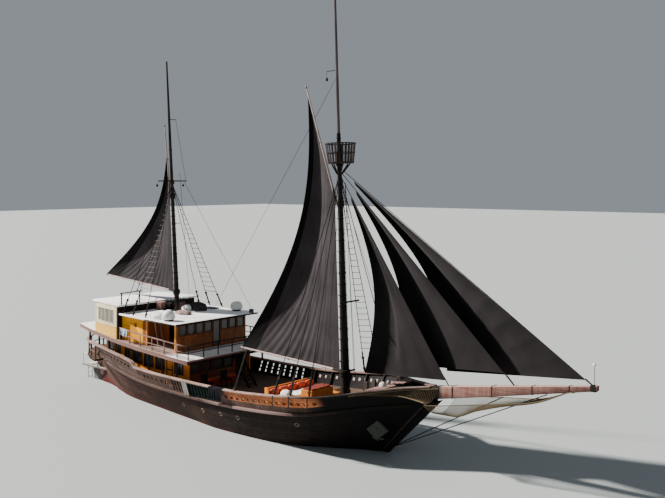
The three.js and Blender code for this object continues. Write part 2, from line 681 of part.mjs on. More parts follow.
// A thin curved plate between two faces, each given as rows of points of equal length.
function thinPlate(near, far) {
  const [rows, size] = [near.length, near[0].length];
  const other = rows * size;
  const index = [];
  const quad = (a, b, c, d) => index.push(a, b, c, a, c, d);
  for (let i = 0; i < rows - 1; i += 1) {
    for (let j = 0; j < size - 1; j += 1) {
      const a = i * size + j;
      quad(a, a + 1, a + size + 1, a + size);
      quad(other + a, other + a + size, other + a + size + 1, other + a + 1);
    }
    const [low, high] = [i * size, i * size + size - 1];
    quad(low, low + size, low + size + other, low + other);
    quad(high, high + other, high + size + other, high + size);
  }
  for (let j = 0; j < size - 1; j += 1) {
    const end = other - size + j;
    quad(j, j + other, j + 1 + other, j + 1);
    quad(end, end + 1, end + 1 + other, end + other);
  }
  const geometry = new THREE.BufferGeometry();
  geometry.setAttribute('position', new THREE.Float32BufferAttribute([near, far].flat(3), 3));
  geometry.setIndex(index);
  return outward(mergeVertices(geometry, 0.05));
}

// A sail between four corners, bellied to port, its free edge hollowed forward.
const SAIL_STEPS = 6;
const SAIL_THICK = 24;
function sail({ tack, clew, peak, throat, belly, hollow }) {
  const steps = [...Array(SAIL_STEPS + 1).keys()].map((i) => i / SAIL_STEPS);
  const face = (side) => steps.map((u) => steps.map((v) => {
    const point = vec(tack).lerp(vec(clew), u).lerp(vec(throat).lerp(vec(peak), u), v);
    const fullness = Math.sin(Math.PI * u) * Math.sin(Math.PI * v) ** 0.7 * belly;
    point.y += fullness + side * SAIL_THICK / 2;
    point.x += hollow * Math.sin(Math.PI * v) * u * u;
    return point.toArray();
  }));
  return thinPlate(face(-1), face(1));
}

// A point beside a mast: so far up its line and so far aft of it.
function beside(foot, head, height, aft) {
  const up = vec(head).sub(vec(foot)).normalize();
  const astern = new THREE.Vector3(-up.z, 0, up.x);
  return vec(foot).addScaledVector(up, height).addScaledVector(astern, aft).toArray();
}

// A point beside a spar in the ship's middle plane, on the side given by turn.
function off(a, b, t, distance, turn) {
  const line = vec(b).sub(vec(a)).normalize();
  const side = new THREE.Vector3(-line.z * turn, 0, line.x * turn);
  return vec(along(a, b, t)).addScaledVector(side, distance).toArray();
}

const MAIN_BOOM_END = [1400, 0, 4700];
const MAIN_GAFF_END = [7480, 0, 22450];
const MIZZEN_BOOM_END = [-14500, 0, 8670];
const MIZZEN_GAFF_END = [-6990, 0, 20500];
// Spar radii at the mast and at the far end.
const MAIN_BOOM_RADIUS = [85, 60];
const MAIN_GAFF_RADIUS = [80, 40];
const MIZZEN_BOOM_RADIUS = [70, 50];
const MIZZEN_GAFF_RADIUS = [55, 35];

// Where a sail's corner lies: just clear of the spar's surface.
const edge = (a, b, t, [near, far], turn) => off(a, b, t, near + (far - near) * t + SEAT, turn);

function mainRig() {
  const mast = [MAIN_FOOT, MAIN_HEAD];
  const gaffAft = ringOuter(mainRadius, GAFF_HEIGHT) + MAIN_GAFF_RADIUS[0] - 25;
  const boomStart = sparStart(...mast, BOOM_HEIGHT, ringOuter(mainRadius, BOOM_HEIGHT) - 30);
  const gaffStart = sparStart(...mast, GAFF_HEIGHT, gaffAft);
  const boom = swingingSpar(...mast, BOOM_HEIGHT, mainRadius, boomStart, MAIN_BOOM_END, MAIN_BOOM_RADIUS);
  const gaff = swingingSpar(...mast, GAFF_HEIGHT, mainRadius, gaffStart, MAIN_GAFF_END, MAIN_GAFF_RADIUS);
  add('main_boom', boom, 'spar');
  add('main_gaff', gaff, 'spar');
  add('mainsail', sail({
    tack: edge(boomStart, MAIN_BOOM_END, 0.012, MAIN_BOOM_RADIUS, -1),
    clew: edge(boomStart, MAIN_BOOM_END, 0.985, MAIN_BOOM_RADIUS, -1),
    peak: edge(gaffStart, MAIN_GAFF_END, 0.9, MAIN_GAFF_RADIUS, 1),
    throat: edge(gaffStart, MAIN_GAFF_END, 0.03, MAIN_GAFF_RADIUS, 1),
    belly: 450, hollow: 2240,
  }), 'sail');
}

function mizzenRig() {
  const mast = [MIZZEN_FOOT, MIZZEN_TOP];
  const [boomHeight, gaffHeight] = [MIZZEN_BOOM_HEIGHT, MIZZEN_GAFF_HEIGHT];
  const gaffAft = ringOuter(mizzenRadius, gaffHeight) + MIZZEN_GAFF_RADIUS[0] - 20;
  const boomStart = sparStart(...mast, boomHeight, ringOuter(mizzenRadius, boomHeight) - 30);
  const gaffStart = sparStart(...mast, gaffHeight, gaffAft);
  const boomReach = [boomStart, MIZZEN_BOOM_END, MIZZEN_BOOM_RADIUS];
  const gaffReach = [gaffStart, MIZZEN_GAFF_END, MIZZEN_GAFF_RADIUS];
  add('mizzen_boom', swingingSpar(...mast, boomHeight, mizzenRadius, ...boomReach), 'spar');
  add('mizzen_gaff', swingingSpar(...mast, gaffHeight, mizzenRadius, ...gaffReach), 'spar');
  add('mizzen_sail', sail({
    tack: edge(boomStart, MIZZEN_BOOM_END, 0.012, MIZZEN_BOOM_RADIUS, -1),
    clew: edge(boomStart, MIZZEN_BOOM_END, 0.985, MIZZEN_BOOM_RADIUS, -1),
    peak: edge(gaffStart, MIZZEN_GAFF_END, 0.66, MIZZEN_GAFF_RADIUS, 1),
    throat: edge(gaffStart, MIZZEN_GAFF_END, 0.03, MIZZEN_GAFF_RADIUS, 1),
    belly: 300, hollow: 2000,
  }), 'sail');
}

// Headsails, each on its own stay. Columns: name, stay's foot on the bowsprit, stay's head on the mast,
// clew, share of the stay at the tack and at the head, belly, hollow of the free edge.
const STAY_RADIUS = 22;
const HEADSAILS = [
  ['inner', [18530, 0, 4530], [10379, 0, 16650], [11600, 1000, 4200], 0.03, 0.88, 500, 1250],
  ['middle', [22720, 0, 5175], [10371, 0, 16870], [14400, 1300, 5060], 0.058, 0.89, 600, 1300],
  ['outer', [27150, 0, 5850], [10365, 0, 17050], [17200, 1800, 4980], 0.028, 0.932, 700, 2000],
];

function headRig() {
  for (const [name, foot, head, clew, low, high, belly, hollow] of HEADSAILS) {
    const stay = cut(rod(foot, head, STAY_RADIUS, STAY_RADIUS, 8), bowspritBar(SEAT), mainMast(SEAT));
    add(`forestay_${name}`, stay, 'rope');
    const tack = off(foot, head, low, STAY_RADIUS + SEAT, 1);
    const peak = off(foot, head, high, STAY_RADIUS + SEAT, 1);
    const short = vec(peak).lerp(vec(clew), 0.02).toArray();
    add(`headsail_${name}`, sail({ tack, clew, peak: short, throat: peak, belly, hollow }), 'sail');
  }
}

// Shrouds spread from a band on the mast to the rail or the roof's edge. Feet columns: x, half-breadth.
const SHROUD_RADIUS = 24;
const DEADEYE_RADIUS = 55;
function shrouds(foot, head, height, radius, sides, feet, surface) {
  const top = vec(beside(foot, head, height, 0));
  const up = vec(head).sub(vec(foot)).normalize();
  const low = top.clone().addScaledVector(up, -90);
  const inner = radius(height - 90) + SEAT;
  const band = turned(low.toArray(), top.toArray(), [
    [0, inner], [0, inner + 45], [180, inner + 45], [180, inner], [0, inner],
  ], sides);
  const parts = [band];
  for (const [x, half] of feet) {
    for (const side of [1, -1]) {
      const rest = Math.max(surface(x - 60), surface(x + 60)) + SEAT;
      const lean = Math.hypot(x - top.x, half) / (top.z - rest);
      const end = [x, side * half, rest + DEADEYE_RADIUS * lean];
      const start = top.clone();
      const aim = vec(end).sub(top).setZ(0).normalize();
      start.addScaledVector(aim, inner + 22);
      parts.push(rod(end, start.toArray(), SHROUD_RADIUS, SHROUD_RADIUS, 6));
      parts.push(rod(end, along(end, start.toArray(), 0.11), DEADEYE_RADIUS, 45, 8));
    }
  }
  return join(...parts);
}
const railTop = (x) => sheer(x, RAIL_Z) + CAP_THICK;
const MAIN_FEET = [8900, 10200, 11500].map((x) => [x, sheer(x, RAIL_HALF) - 60]);
const roofTop = (x) => read(WHEEL_ROOF, x, 2);
const MIZZEN_FEET = [-4540, -6000, -7250].map((x) => [x, 3620]);
const SHROUD_HEIGHT = 13650;
const MIZZEN_SHROUD_HEIGHT = 13500;

// Crow's nest: a flared tub whose floor sits on the mast's shoulder, set a little forward of the mast.
const NEST = { floorRadius: 780, rimRadius: 900, tall: 1250, wall: 50, forward: 130 };
function crowNest() {
  const { floorRadius, rimRadius, tall, wall, forward } = NEST;
  const low = beside(MAIN_FOOT, MAIN_HEAD, NEST_HEIGHT + SEAT, -forward);
  const high = beside(MAIN_FOOT, MAIN_HEAD, NEST_HEIGHT + 1000, -forward);
  const tub = turned(low, high, [
    [0, 0], [0, floorRadius], [tall, rimRadius],
    [tall, rimRadius - wall], [wall, floorRadius - wall], [wall, 0],
  ], 20);
  return cut(tub, mainMast(2));
}

function crosstree() {
  const height = CROSSTREE_HEIGHT + SEAT;
  const low = beside(MIZZEN_FOOT, MIZZEN_TOP, height, 0);
  const high = beside(MIZZEN_FOOT, MIZZEN_TOP, height + 120, 0);
  const inner = (mizzenRadius(CROSSTREE_HEIGHT) + 2 * SEAT) / Math.cos(Math.PI / 12);
  const outer = inner + 60;
  const ring = turned(low, high, [[0, inner], [0, outer], [120, outer], [120, inner], [0, inner]], 12);
  const bar = box(low[0] + inner + 20, low[0] + inner + 130, -1400, 1200, low[2] + 30, low[2] + 115);
  return join(ring, bar);
}

// Underside of the bowsprit, where the net's fore end is lashed.
function bowspritUnder(x) {
  const t = (x - BOWSPRIT_HEEL[0]) / (BOWSPRIT_TIP[0] - BOWSPRIT_HEEL[0]);
  return along(BOWSPRIT_HEEL, BOWSPRIT_TIP, t)[2] - read(BOWSPRIT, t, 2);
}
const NET_TIP = bowspritUnder(26200) - SEAT;

// Net under the bowsprit: a sagging sheet. Columns: x, half-width, edge height, middle height.
const NET = [
  [17950, 1700, 3700, 2950], [19000, 1500, 3830, 2950], [20300, 1250, 4030, 3450], [22000, 950, 4300, 4000],
  [24000, 600, 4640, 4520], [26200, 260, NET_TIP, NET_TIP],
];
const NET_THICK = 24;
function net() {
  const face = (drop) => NET.map(([x, half, edgeZ, middleZ]) => [-1, -0.6, -0.2, 0.2, 0.6, 1].map((share) => (
    [x, share * half, middleZ + (edgeZ - middleZ) * share ** 2 - drop]
  )));
  return thinPlate(face(0), face(NET_THICK));
}

// Rudder: a plank blade on a raked stock behind the sternpost, its stock stepped on the keel's heel.
const STOCK_OFF = 110;
const STOCK_RADIUS = 75;
const stockX = (z) => postX(z) - STOCK_OFF;
const BLADE_TOP = 1000;
const BLADE_FOOT = -2150;
const BLADE = [
  [stockX(BLADE_TOP), BLADE_TOP], [stockX(BLADE_FOOT), BLADE_FOOT], [stockX(BLADE_FOOT) - 1250, BLADE_FOOT],
  [stockX(-1200) - 1420, -1200], [stockX(0) - 1250, 0], [stockX(BLADE_TOP) - 1050, BLADE_TOP],
];
function rudder() {
  const rim = STOCK_RADIUS * Math.sin(Math.atan(-POST_RAKE));
  const foot = HEEL_TOP + rim + SEAT;
  const head = [stockX(BLADE_TOP), 0, BLADE_TOP];
  const stock = rod([stockX(foot), 0, foot], head, STOCK_RADIUS, STOCK_RADIUS, 12);
  return join(stock, plate(BLADE, -60, 60));
}

function propeller() {
  const [x, , z] = PROP_CENTRE;
  const hub = rod([x + 180 - SEAT * 2, 0, z], [x - 180, 0, z], 105, 60, 12);
  const blades = [0, 1, 2, 3].map((i) => {
    const blade = box(-35, 35, -120, 120, 60, PROP_RADIUS);
    blade.rotateZ(0.5);
    blade.rotateX(i * Math.PI / 2);
    blade.translate(x, 0, z);
    return blade;
  });
  return join(hub, ...blades);
}

// Swimming platform behind the stern, on two beams from the quarters, with handrails and a ladder.
const PLATFORM = { top: 1250, thick: 90, fore: -15800, aft: -16850, half: 700, beam: 100, post: -14700 };
const HANDRAIL = 930;
const LADDER = { y: [-150, 250], stile: 70, foot: -450, rungs: [-300, 50, 400, 750] };
function sternPlatform(hull) {
  const { top, thick, fore, aft, half, beam, post } = PLATFORM;
  const parts = [box(aft, fore, -half, half, top - thick, top)];
  for (const side of [1, -1]) {
    const [y0, y1] = [side * half, side * (half - beam)].sort((a, b) => a - b);
    parts.push(box(aft + 10, -12300, y0, y1, top - 130, top - 5));
    const underside = Math.min(sheer(post - 50, DECK_Z), sheer(post + 50, DECK_Z)) - 150 - SEAT;
    parts.push(box(post - 50, post + 50, y0 + 5, y1 - 5, top - 50, underside));
    parts.push(box(aft + 20, aft + 100, y0 + 10, y1 - 10, top - 50, top + HANDRAIL + 20));
    parts.push(box(aft + 30, post, y0 + 15, y1 - 15, top + HANDRAIL - 70, top + HANDRAIL));
  }
  const { y, stile, foot, rungs } = LADDER;
  for (const middle of y) parts.push(box(aft - 5, aft + stile, middle - 35, middle + 35, foot, top - 20));
  for (const z of rungs) parts.push(box(aft + 10, aft + stile - 10, y[0], y[1], z, z + 45));
  return cut(join(...parts), hull.clone().translate(0, 2, 0), hull.clone().translate(0, -2, 0));
}

// Open balustrade between the gallery floor and the cap rail.
const GALLERY_POSTS = [-12400, -13300, -14300];
function galleryBalustrade() {
  const at = (x) => [sheer(x, RAIL_HALF) - 130, sheer(x, DECK_Z), sheer(x, RAIL_Z)];
  const xs = [BULWARK_AFT - 60, ...GALLERY_POSTS, -14850];
  const side = xs.map((x) => {
    const [half, floor] = at(x);
    const [low, high] = [floor + 480, floor + 540];
    return [[x, half, low], [x, half, high], [x, half - 60, high], [x, half - 60, low]];
  });
  side[side.length - 1][2][0] += 60;
  side[side.length - 1][3][0] += 60;
  const other = side.map((ring) => ring.map(([x, y, z]) => [x, -y, z])).reverse();
  const posts = [];
  for (const x of [BULWARK_AFT - 110, ...GALLERY_POSTS]) {
    const half = at(x)[0];
    const floor = Math.max(sheer(x - 45, DECK_Z), sheer(x + 45, DECK_Z)) + SEAT;
    const top = Math.min(sheer(x - 45, RAIL_Z), sheer(x + 45, RAIL_Z));
    for (const y of [half - 30, -half + 30]) posts.push(box(x - 45, x + 45, y - 45, y + 45, floor, top));
  }
  const sternX = -14880;
  posts.push(box(sternX, sternX + 90, -45, 45, sheer(sternX, DECK_Z) + SEAT, sheer(sternX + 90, RAIL_Z)));
  return join(loft([...side, ...other]), ...posts);
}

// Steep stair from the boat deck's front edge down to the main deck.
function frontStair() {
  const [topX, topZ, footX] = [BOAT_DECK_FRONT + 5, 4150, 2150];
  const footZ = sheer(footX, DECK_Z) + 2;
  const stringer = [[topX, topZ], [topX, topZ - 330], [footX - 130, footZ], [footX + 90, footZ]];
  const parts = [plate(stringer, 60, 100), plate(stringer, 760, 800)];
  for (let i = 1; i < 8; i += 1) {
    const t = i / 8;
    const [x, z] = [topX + 60 + (footX - topX - 90) * t, topZ - 120 + (footZ - topZ + 20) * t];
    parts.push(box(x - 110, x + 110, 70, 790, z - 20, z + 15));
  }
  return join(...parts);
}

// Seats. The red bench stands against the lower house; the lounge faces it from ahead.
const BENCH = { fore: -60, aft: LOWER_FRONT + SEAT, y0: -2350, y1: 1050, seat: 2330 };
function frontBench() {
  const { fore, aft, y0, y1, seat } = BENCH;
  const foot = Math.max(sheer(fore, DECK_Z), sheer(aft, DECK_Z)) + SEAT;
  return box(aft, fore, y0, y1, foot, seat);
}

const LOUNGE = { aft: 6950, fore: 8650, y0: -3200, y1: 1150, base: 2680, chestAft: 9000, chestFore: 9750 };
function loungeFrame() {
  const { aft, fore, y0, y1, base, chestAft, chestFore } = LOUNGE;
  const foot = sheer(chestFore, DECK_Z) + SEAT;
  const plinth = loft([aft, 7500, 9500, chestFore].map((x) => {
    const z = sheer(x, DECK_Z) + SEAT;
    return [[x, y0, z], [x, y0, foot + 60], [x, y1, foot + 60], [x, y1, z]];
  }));
  const bed = box(aft, fore, y0, y1, foot + 50, base);
  const ends = box(aft, aft + 330, y0 + 1, y0 + 90, base - 50, base + 620);
  const back = box(aft, aft + 90, y0 + 1, y1 - 1, base - 50, base + 560);
  const chest = box(chestAft, chestFore, y0 + 900, y1 + 700, foot + 50, base + 40);
  return join(plinth, bed, ends, back, chest);
}

// A cushion's block, laid between a seat's two ends and set in from them.
function cushion(aft, fore, { y0, y1 }, inset, seat, tall) {
  return box(aft, fore, y0 + inset, y1 - inset, seat + SEAT, seat + tall);
}

function anchor(hull) {
  const [x, y, z] = [14250, 1130, 1540];
  const diamond = loft([[-150, 0.98], [60, 1]].map(([dy, size]) => [
    [x - 640 * size, y + dy + 170, z], [x, y + dy - 60, z + 560 * size], [x + 640 * size, y + dy - 210, z],
    [x, y + dy + 60, z - 560 * size],
  ]));
  const shank = rod([x, y + 60, z + 120], [x + 40, y - 20, z - 620], 55, 45, 8);
  const arms = rod([x - 330, y + 20, z - 480], [x + 400, y - 100, z - 480], 50, 50, 8);
  return cut(join(diamond, shank, arms), hull.clone().translate(0, 2, 0));
}

function windlass() {
  const foot = sheer(12960, DECK_Z) + SEAT;
  const parts = [];
  for (const side of [1, -1]) {
    const [y0, y1] = [side * 300, side * 470].sort((a, b) => a - b);
    parts.push(box(12700, 12960, y0, y1, foot, 4050));
    parts.push(box(12050, 12760, y0 + 2, y1 - 2, foot, 3350));
  }
  parts.push(rod([12250, -900, 3150], [12250, 900, 3150], 170, 170, 12));
  return join(...parts);
}

const DOME = { x: -2500, y: 3200, radius: 460 };
function dome(side) {
  const z = Math.max(roofTop(DOME.x - 300), roofTop(DOME.x + 300)) + SEAT;
  const r = DOME.radius;
  const rows = [
    [0, 0], [0, 300], [110, 300], [110, r * 0.86],
    [330, r], [560, r * 0.88], [740, r * 0.55], [820, 0],
  ];
  return turned([DOME.x, side * DOME.y, z], [DOME.x, side * DOME.y, z + 1], rows, 16);
}

// Lockers on the front house's roof. Columns: low x, low y, height.
const LOCKERS = [[-7350, -500, 560], [-6800, -60, 500], [-6280, 420, 700]];
function roofLockers() {
  const base = roofTop(-7400) + SEAT;
  const parts = [box(-7400, -5700, -560, 1050, base, base + 60)];
  for (const [x, y, tall] of LOCKERS) parts.push(box(x, x + 540, y, y + 560, base + 50, base + tall));
  return join(...parts);
}

const hull = hullBody();
add('hull', hull, 'hull');
const portBulwark = bulwark();
add('bulwark_port', portBulwark, 'hull');
add('bulwark_starboard', mirrored(portBulwark), 'hull');
add('cap_rail', capRail(), 'rail');
add('bowsprit', bowspritBar(0), 'spar');

const portLower = lowerSide();
add('lower_side_port', portLower, 'orange');
add('lower_side_starboard', mirrored(portLower), 'orange');
const frontPanes = [-2700, -1700, -650, 300].map((y) => [y, y + 850, 2950, 3850]);
const frontDoorway = [1500, 2300, 2100, 3850];
add('lower_front', lowerEnd(LOWER_FRONT - WALL, LOWER_HALF, [...frontPanes, frontDoorway]), 'orange');
add('lower_aft', lowerEnd(LOWER_AFT, LOWER_AFT_HALF, [[-400, 400, 2800, 4500]]), 'orange');
const [doorAft, doorFore] = LOWER_DOOR;
const portDoor = sideDoor(doorFore, doorAft - doorFore, LOWER_HALF, sheer(doorFore, DECK_Z) + SILL, DOOR_TOP);
add('lower_door_port', portDoor, 'yellow');
add('lower_door_starboard', mirrored(portDoor), 'yellow');
add('boat_deck', boatDeckSlab(), 'white');
const portFrame = sideFrame();
add('side_frame_port', portFrame, 'dark');
add('side_frame_starboard', mirrored(portFrame), 'dark');
add('boat_deck_railing', boatDeckRailing(), 'rail');

add('wheelhouse_front', wheelFront(), 'orange');
const portWheel = wheelSide();
add('wheelhouse_side_port', portWheel, 'yellow');
add('wheelhouse_side_starboard', mirrored(portWheel), 'yellow');
add('wheelhouse_roof', cut(roof(WHEEL_ROOF), mizzenMast(SEAT)), 'white');
const portCabin = cabinSide();
add('cabin_side_port', portCabin, 'cream');
add('cabin_side_starboard', mirrored(portCabin), 'cream');
add('cabin_front', cabinEnd(CABIN_FRONT, []), 'cream');
add('cabin_aft', cabinEnd(CABIN_AFT, [[-400, 400, 100, 1950]]), 'cream');
add('cabin_roof', roof(CABIN_ROOF), 'white');

add('main_lower_mast', mainMast(), 'dark');
add('main_topmast', rod(along(MAIN_HEAD, TOPMAST_HEAD, 0.0001), TOPMAST_HEAD, 85, 45, 12), 'spar');
add('crow_nest', crowNest(), 'orange');
mainRig();
headRig();
const mainShrouds = shrouds(MAIN_FOOT, MAIN_HEAD, SHROUD_HEIGHT, mainRadius, 16, MAIN_FEET, railTop);
add('main_shrouds', mainShrouds, 'rope');
add('mizzen_mast', mizzenMast(), 'dark');
mizzenRig();
const mizzenStay = [MIZZEN_FOOT, MIZZEN_TOP, MIZZEN_SHROUD_HEIGHT, mizzenRadius, 12, MIZZEN_FEET, roofTop];
add('mizzen_shrouds', shrouds(...mizzenStay), 'rope');
add('mizzen_crosstree', crosstree(), 'dark');

add('bowsprit_net', net(), 'net');
add('gallery_balustrade', galleryBalustrade(), 'rail');
add('stern_platform', sternPlatform(hull), 'white');
add('rudder', rudder(), 'hull');
add('propeller', propeller(), 'bronze');
add('front_stair', frontStair(), 'spar');
add('front_bench', frontBench(), 'orange');
add('front_bench_cushion', cushion(BENCH.aft + 40, BENCH.fore - 20, BENCH, 30, BENCH.seat, 160), 'red');
add('lounge_frame', loungeFrame(), 'orange');
add('lounge_mattress', cushion(7450, 8600, LOUNGE, 120, LOUNGE.base, 190), 'white');
add('lounge_cushions', cushion(7060, 7430, LOUNGE, 120, LOUNGE.base, 520), 'red');
add('windlass', windlass(), 'iron');
const portAnchor = anchor(hull);
add('anchor_port', portAnchor, 'iron');
add('anchor_starboard', mirrored(portAnchor), 'iron');
add('dome_port', dome(1), 'white');
add('dome_starboard', dome(-1), 'white');
add('roof_lockers', roofLockers(), 'spar');

export default ship;
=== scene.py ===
import math

import bpy
import numpy as np
from mathutils import Matrix, Vector


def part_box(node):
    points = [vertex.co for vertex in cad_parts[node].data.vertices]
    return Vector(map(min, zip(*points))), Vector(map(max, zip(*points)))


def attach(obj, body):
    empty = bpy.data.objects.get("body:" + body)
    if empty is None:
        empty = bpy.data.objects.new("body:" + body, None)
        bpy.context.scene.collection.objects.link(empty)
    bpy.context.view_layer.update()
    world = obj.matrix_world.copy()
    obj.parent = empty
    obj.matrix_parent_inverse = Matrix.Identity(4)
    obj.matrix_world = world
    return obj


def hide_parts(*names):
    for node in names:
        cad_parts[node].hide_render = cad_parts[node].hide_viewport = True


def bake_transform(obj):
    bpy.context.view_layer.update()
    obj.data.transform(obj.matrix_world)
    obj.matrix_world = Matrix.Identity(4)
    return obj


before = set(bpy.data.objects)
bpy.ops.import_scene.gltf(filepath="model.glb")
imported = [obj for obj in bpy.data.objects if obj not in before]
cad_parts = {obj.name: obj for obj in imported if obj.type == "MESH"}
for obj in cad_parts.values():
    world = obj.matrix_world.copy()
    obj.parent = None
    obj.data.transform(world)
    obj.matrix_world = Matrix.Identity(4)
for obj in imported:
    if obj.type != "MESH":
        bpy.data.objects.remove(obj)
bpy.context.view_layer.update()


# Studio: a pale floor at the waterline, the camera high off the starboard bow, one warm key light
# low from astern and a weak even sky, which together shape the sails as the low sun does.
FLOOR_COLOUR, SKY_COLOUR, SUN_COLOUR = (0.32, 0.35, 0.35, 1), (0.82, 0.90, 1.0, 1), (1.0, 0.95, 0.88)
SUN_POWER, SKY_POWER = 13.5, 0.32
CAMERA_PLACE, CAMERA_AIM, SUN_AIM = (23.17, -21.10, 8.1), (-0.6547, 0.7559, 0), (0.76, 0.31, -0.57)


def deselect():
    bpy.ops.object.select_all(action="DESELECT")


def aimed(direction):
    """Turns the new camera or light, which looks along its own -Z."""
    bpy.context.object.rotation_euler = Vector(direction).to_track_quat("-Z", "Y").to_euler()
    return bpy.context.object


deselect()
bpy.ops.mesh.primitive_plane_add(size=400, location=(0, 0, 0))
floor = bpy.context.object
floor.name = "floor"
pale = bpy.data.materials.new("pale_floor")
pale.use_nodes = True
pale.node_tree.nodes["Principled BSDF"].inputs["Base Color"].default_value = FLOOR_COLOUR
pale.node_tree.nodes["Principled BSDF"].inputs["Roughness"].default_value = 0.8
floor.data.materials.append(pale)

bpy.ops.object.camera_add(location=CAMERA_PLACE)
camera = aimed(CAMERA_AIM)
camera.data.sensor_width = 36
camera.data.lens = 47.9
camera.data.shift_y = -0.1023
camera.data.clip_end = 500
bpy.context.scene.camera = camera

bpy.ops.object.light_add(type="SUN", location=(-20, -8, 20))
key_light = aimed(SUN_AIM)
key_light.data.energy = SUN_POWER
key_light.data.angle = math.radians(3)
key_light.data.color = SUN_COLOUR
sky = bpy.context.scene.world or bpy.data.worlds.new("sky")
bpy.context.scene.world = sky
sky.use_nodes = True
sky.node_tree.nodes["Background"].inputs["Color"].default_value = SKY_COLOUR
sky.node_tree.nodes["Background"].inputs["Strength"].default_value = SKY_POWER


# Hull planking: long hardwood strakes laid parallel to the sheer and spiked to the frames, dark with oil
# and painted red near the waterline; painted sunlight lightens them aft and painted shade blackens the
# bow. Each seam is an open caulked groove.
# Columns: x, half-breadth at the rail, rail height, half-breadth at the deck edge, deck height.
SHEER = [
    (9.0, 0.075, 2.225, 0.07, 1.78), (8.5, 0.25, 2.15, 0.07, 1.71), (8.0, 0.525, 2.1, 0.3, 1.635),
    (7.5, 0.85, 2.025, 0.575, 1.565), (7.0, 1.225, 1.95, 0.91, 1.495), (6.5, 1.625, 1.85, 1.27, 1.41),
    (6.0, 1.975, 1.78, 1.6, 1.32), (5.5, 2.15, 1.725, 1.82, 1.23), (4.75, 2.2, 1.65, 1.965, 1.15),
    (3.75, 2.2, 1.55, 2.015, 1.075), (2.5, 2.175, 1.46, 2.035, 1.01), (0.75, 2.175, 1.44, 2.015, 0.975),
    (-1.0, 2.165, 1.45, 1.945, 0.99), (-2.5, 2.09, 1.485, 1.84, 1.045), (-2.8, 2.065, 1.645, 1.805, 1.06),
    (-4.2, 1.9, 1.8, 1.59, 1.175), (-5.25, 1.71, 1.86, 1.325, 1.27), (-6.2, 1.49, 1.9, 0.925, 1.35),
    (-6.7, 1.25, 1.915, 0.625, 1.39), (-7.2, 0.78, 1.925, 0.28, 1.42), (-7.55, 0.21, 1.93, 0.07, 1.44),
]
# Half-breadth at the waterline, and the foot of the planking. Columns: x, value.
WATER = [
    (7.0, 0.07), (6.45, 0.28), (5.5, 0.825), (4.25, 1.425), (2.6, 1.65), (1.5, 1.665), (0, 1.49),
    (-1.5, 1.285), (-3.0, 1.1), (-4.35, 0.89), (-5.4, 0.575), (-6.2, 0.28), (-6.9, 0.12), (-7.32, 0.07),
]
FOREFOOT = [(4.6, -1.05), (5.3, -0.975), (6.0, -0.725), (6.55, -0.4), (7.0, 0)]
KEEL_HALF, KEEL_TOP = 0.07, -1.05
# The stem and the sternpost are straight: x at the waterline, and x for each metre of height.
STEM_X, STEM_RAKE, FOREFOOT_AFT = 7.0, 0.944, 4.6
POST_X, POST_RAKE = -7.32, -0.46
# Strakes: how many, their width, the seam, the first one's drop below the sheer and the skin's thickness.
STRAKES, STRAKE, SEAM, TOP_DROP, SKIN = 21, 0.105, 0.008, 0.095, 0.012
# Below these drops the lines end at the forefoot, and stay clear above the keel.
FOREFOOT_DROP, KEEL_DROP, CLEAR = 2.18, 1.95, 0.004
SIDES = ((-1, "starboard"), (1, "port"))


def fair(table, column):
    """A smooth curve by x through one column of a table, which never overshoots its rows."""
    rows = sorted(table)
    xs = np.array([row[0] for row in rows])
    ys = np.array([row[column] for row in rows])
    width = np.diff(xs)
    slope = np.diff(ys) / width
    lean = np.concatenate(([slope[0]], np.zeros(len(xs) - 2), [slope[-1]]))
    for i in range(1, len(xs) - 1):
        if slope[i - 1] * slope[i] > 0:
            lean[i] = 2 * slope[i - 1] * slope[i] / (slope[i - 1] + slope[i])

    def at(x):
        x = min(max(x, xs[0]), xs[-1])
        i = min(max(int(np.searchsorted(xs, x, side="right")) - 1, 0), len(width) - 1)
        t = (x - xs[i]) / width[i]
        start, end = ys[i], ys[i + 1]
        return float((2 * t**3 - 3 * t**2 + 1) * start + (t**3 - 2 * t**2 + t) * width[i] * lean[i]
                     + (3 * t**2 - 2 * t**3) * end + (t**3 - t**2) * width[i] * lean[i + 1])

    return at


def straight(table, column):
    """A straight run by x between the rows of a table."""
    rows = sorted(table)
    return lambda x: float(np.interp(x, [row[0] for row in rows], [row[column] for row in rows]))


rail_half, rail_z, deck_half, deck_z = (fair(SHEER, column) for column in (1, 2, 3, 4))
water_half = fair(WATER, 1)
forefoot = fair(FOREFOOT, 1)


def planking_foot(x):
    """Height of the planking's lowest edge, along the stem, the keel and the sternpost."""
    if x > STEM_X:
        return (x - STEM_X) / STEM_RAKE
    if x > FOREFOOT_AFT:
        return forefoot(x)
    return max(KEEL_TOP, (x - POST_X) / POST_RAKE)


def hull_half(x, z):
    """Half-breadth of the hull at one point of its side."""
    top = deck_z(x)
    bottom = min(planking_foot(x), top - 0.13)
    edge = max(deck_half(x), KEEL_HALF + 0.001)
    power = 1.15
    if bottom < -0.15:
        power = math.log(max(water_half(x), KEEL_HALF) / edge) / math.log(-bottom / (top - bottom))
    level = min(max((z - bottom) / (top - bottom), 0), 1)
    return max(KEEL_HALF, edge * level**power)


def strake_end(drop, start, end):
    """Where the line at this drop below the sheer meets the stem or the sternpost."""
    for _ in range(30):
        middle = (start + end) / 2
        inside = deck_z(middle) - drop > planking_foot(middle) + CLEAR
        start, end = (middle, end) if inside else (start, middle)
    return start


def focus(piece):
    """Selects one piece alone and makes it active."""
    deselect()
    piece.select_set(True)
    bpy.context.view_layer.objects.active = piece


def edited(piece, *operators):
    """Runs edit-mode operators on the whole of a piece."""
    focus(piece)
    bpy.ops.object.mode_set(mode="EDIT")
    bpy.ops.mesh.select_all(action="SELECT")
    for operator in operators:
        operator()
    bpy.ops.object.mode_set(mode="OBJECT")
    return piece


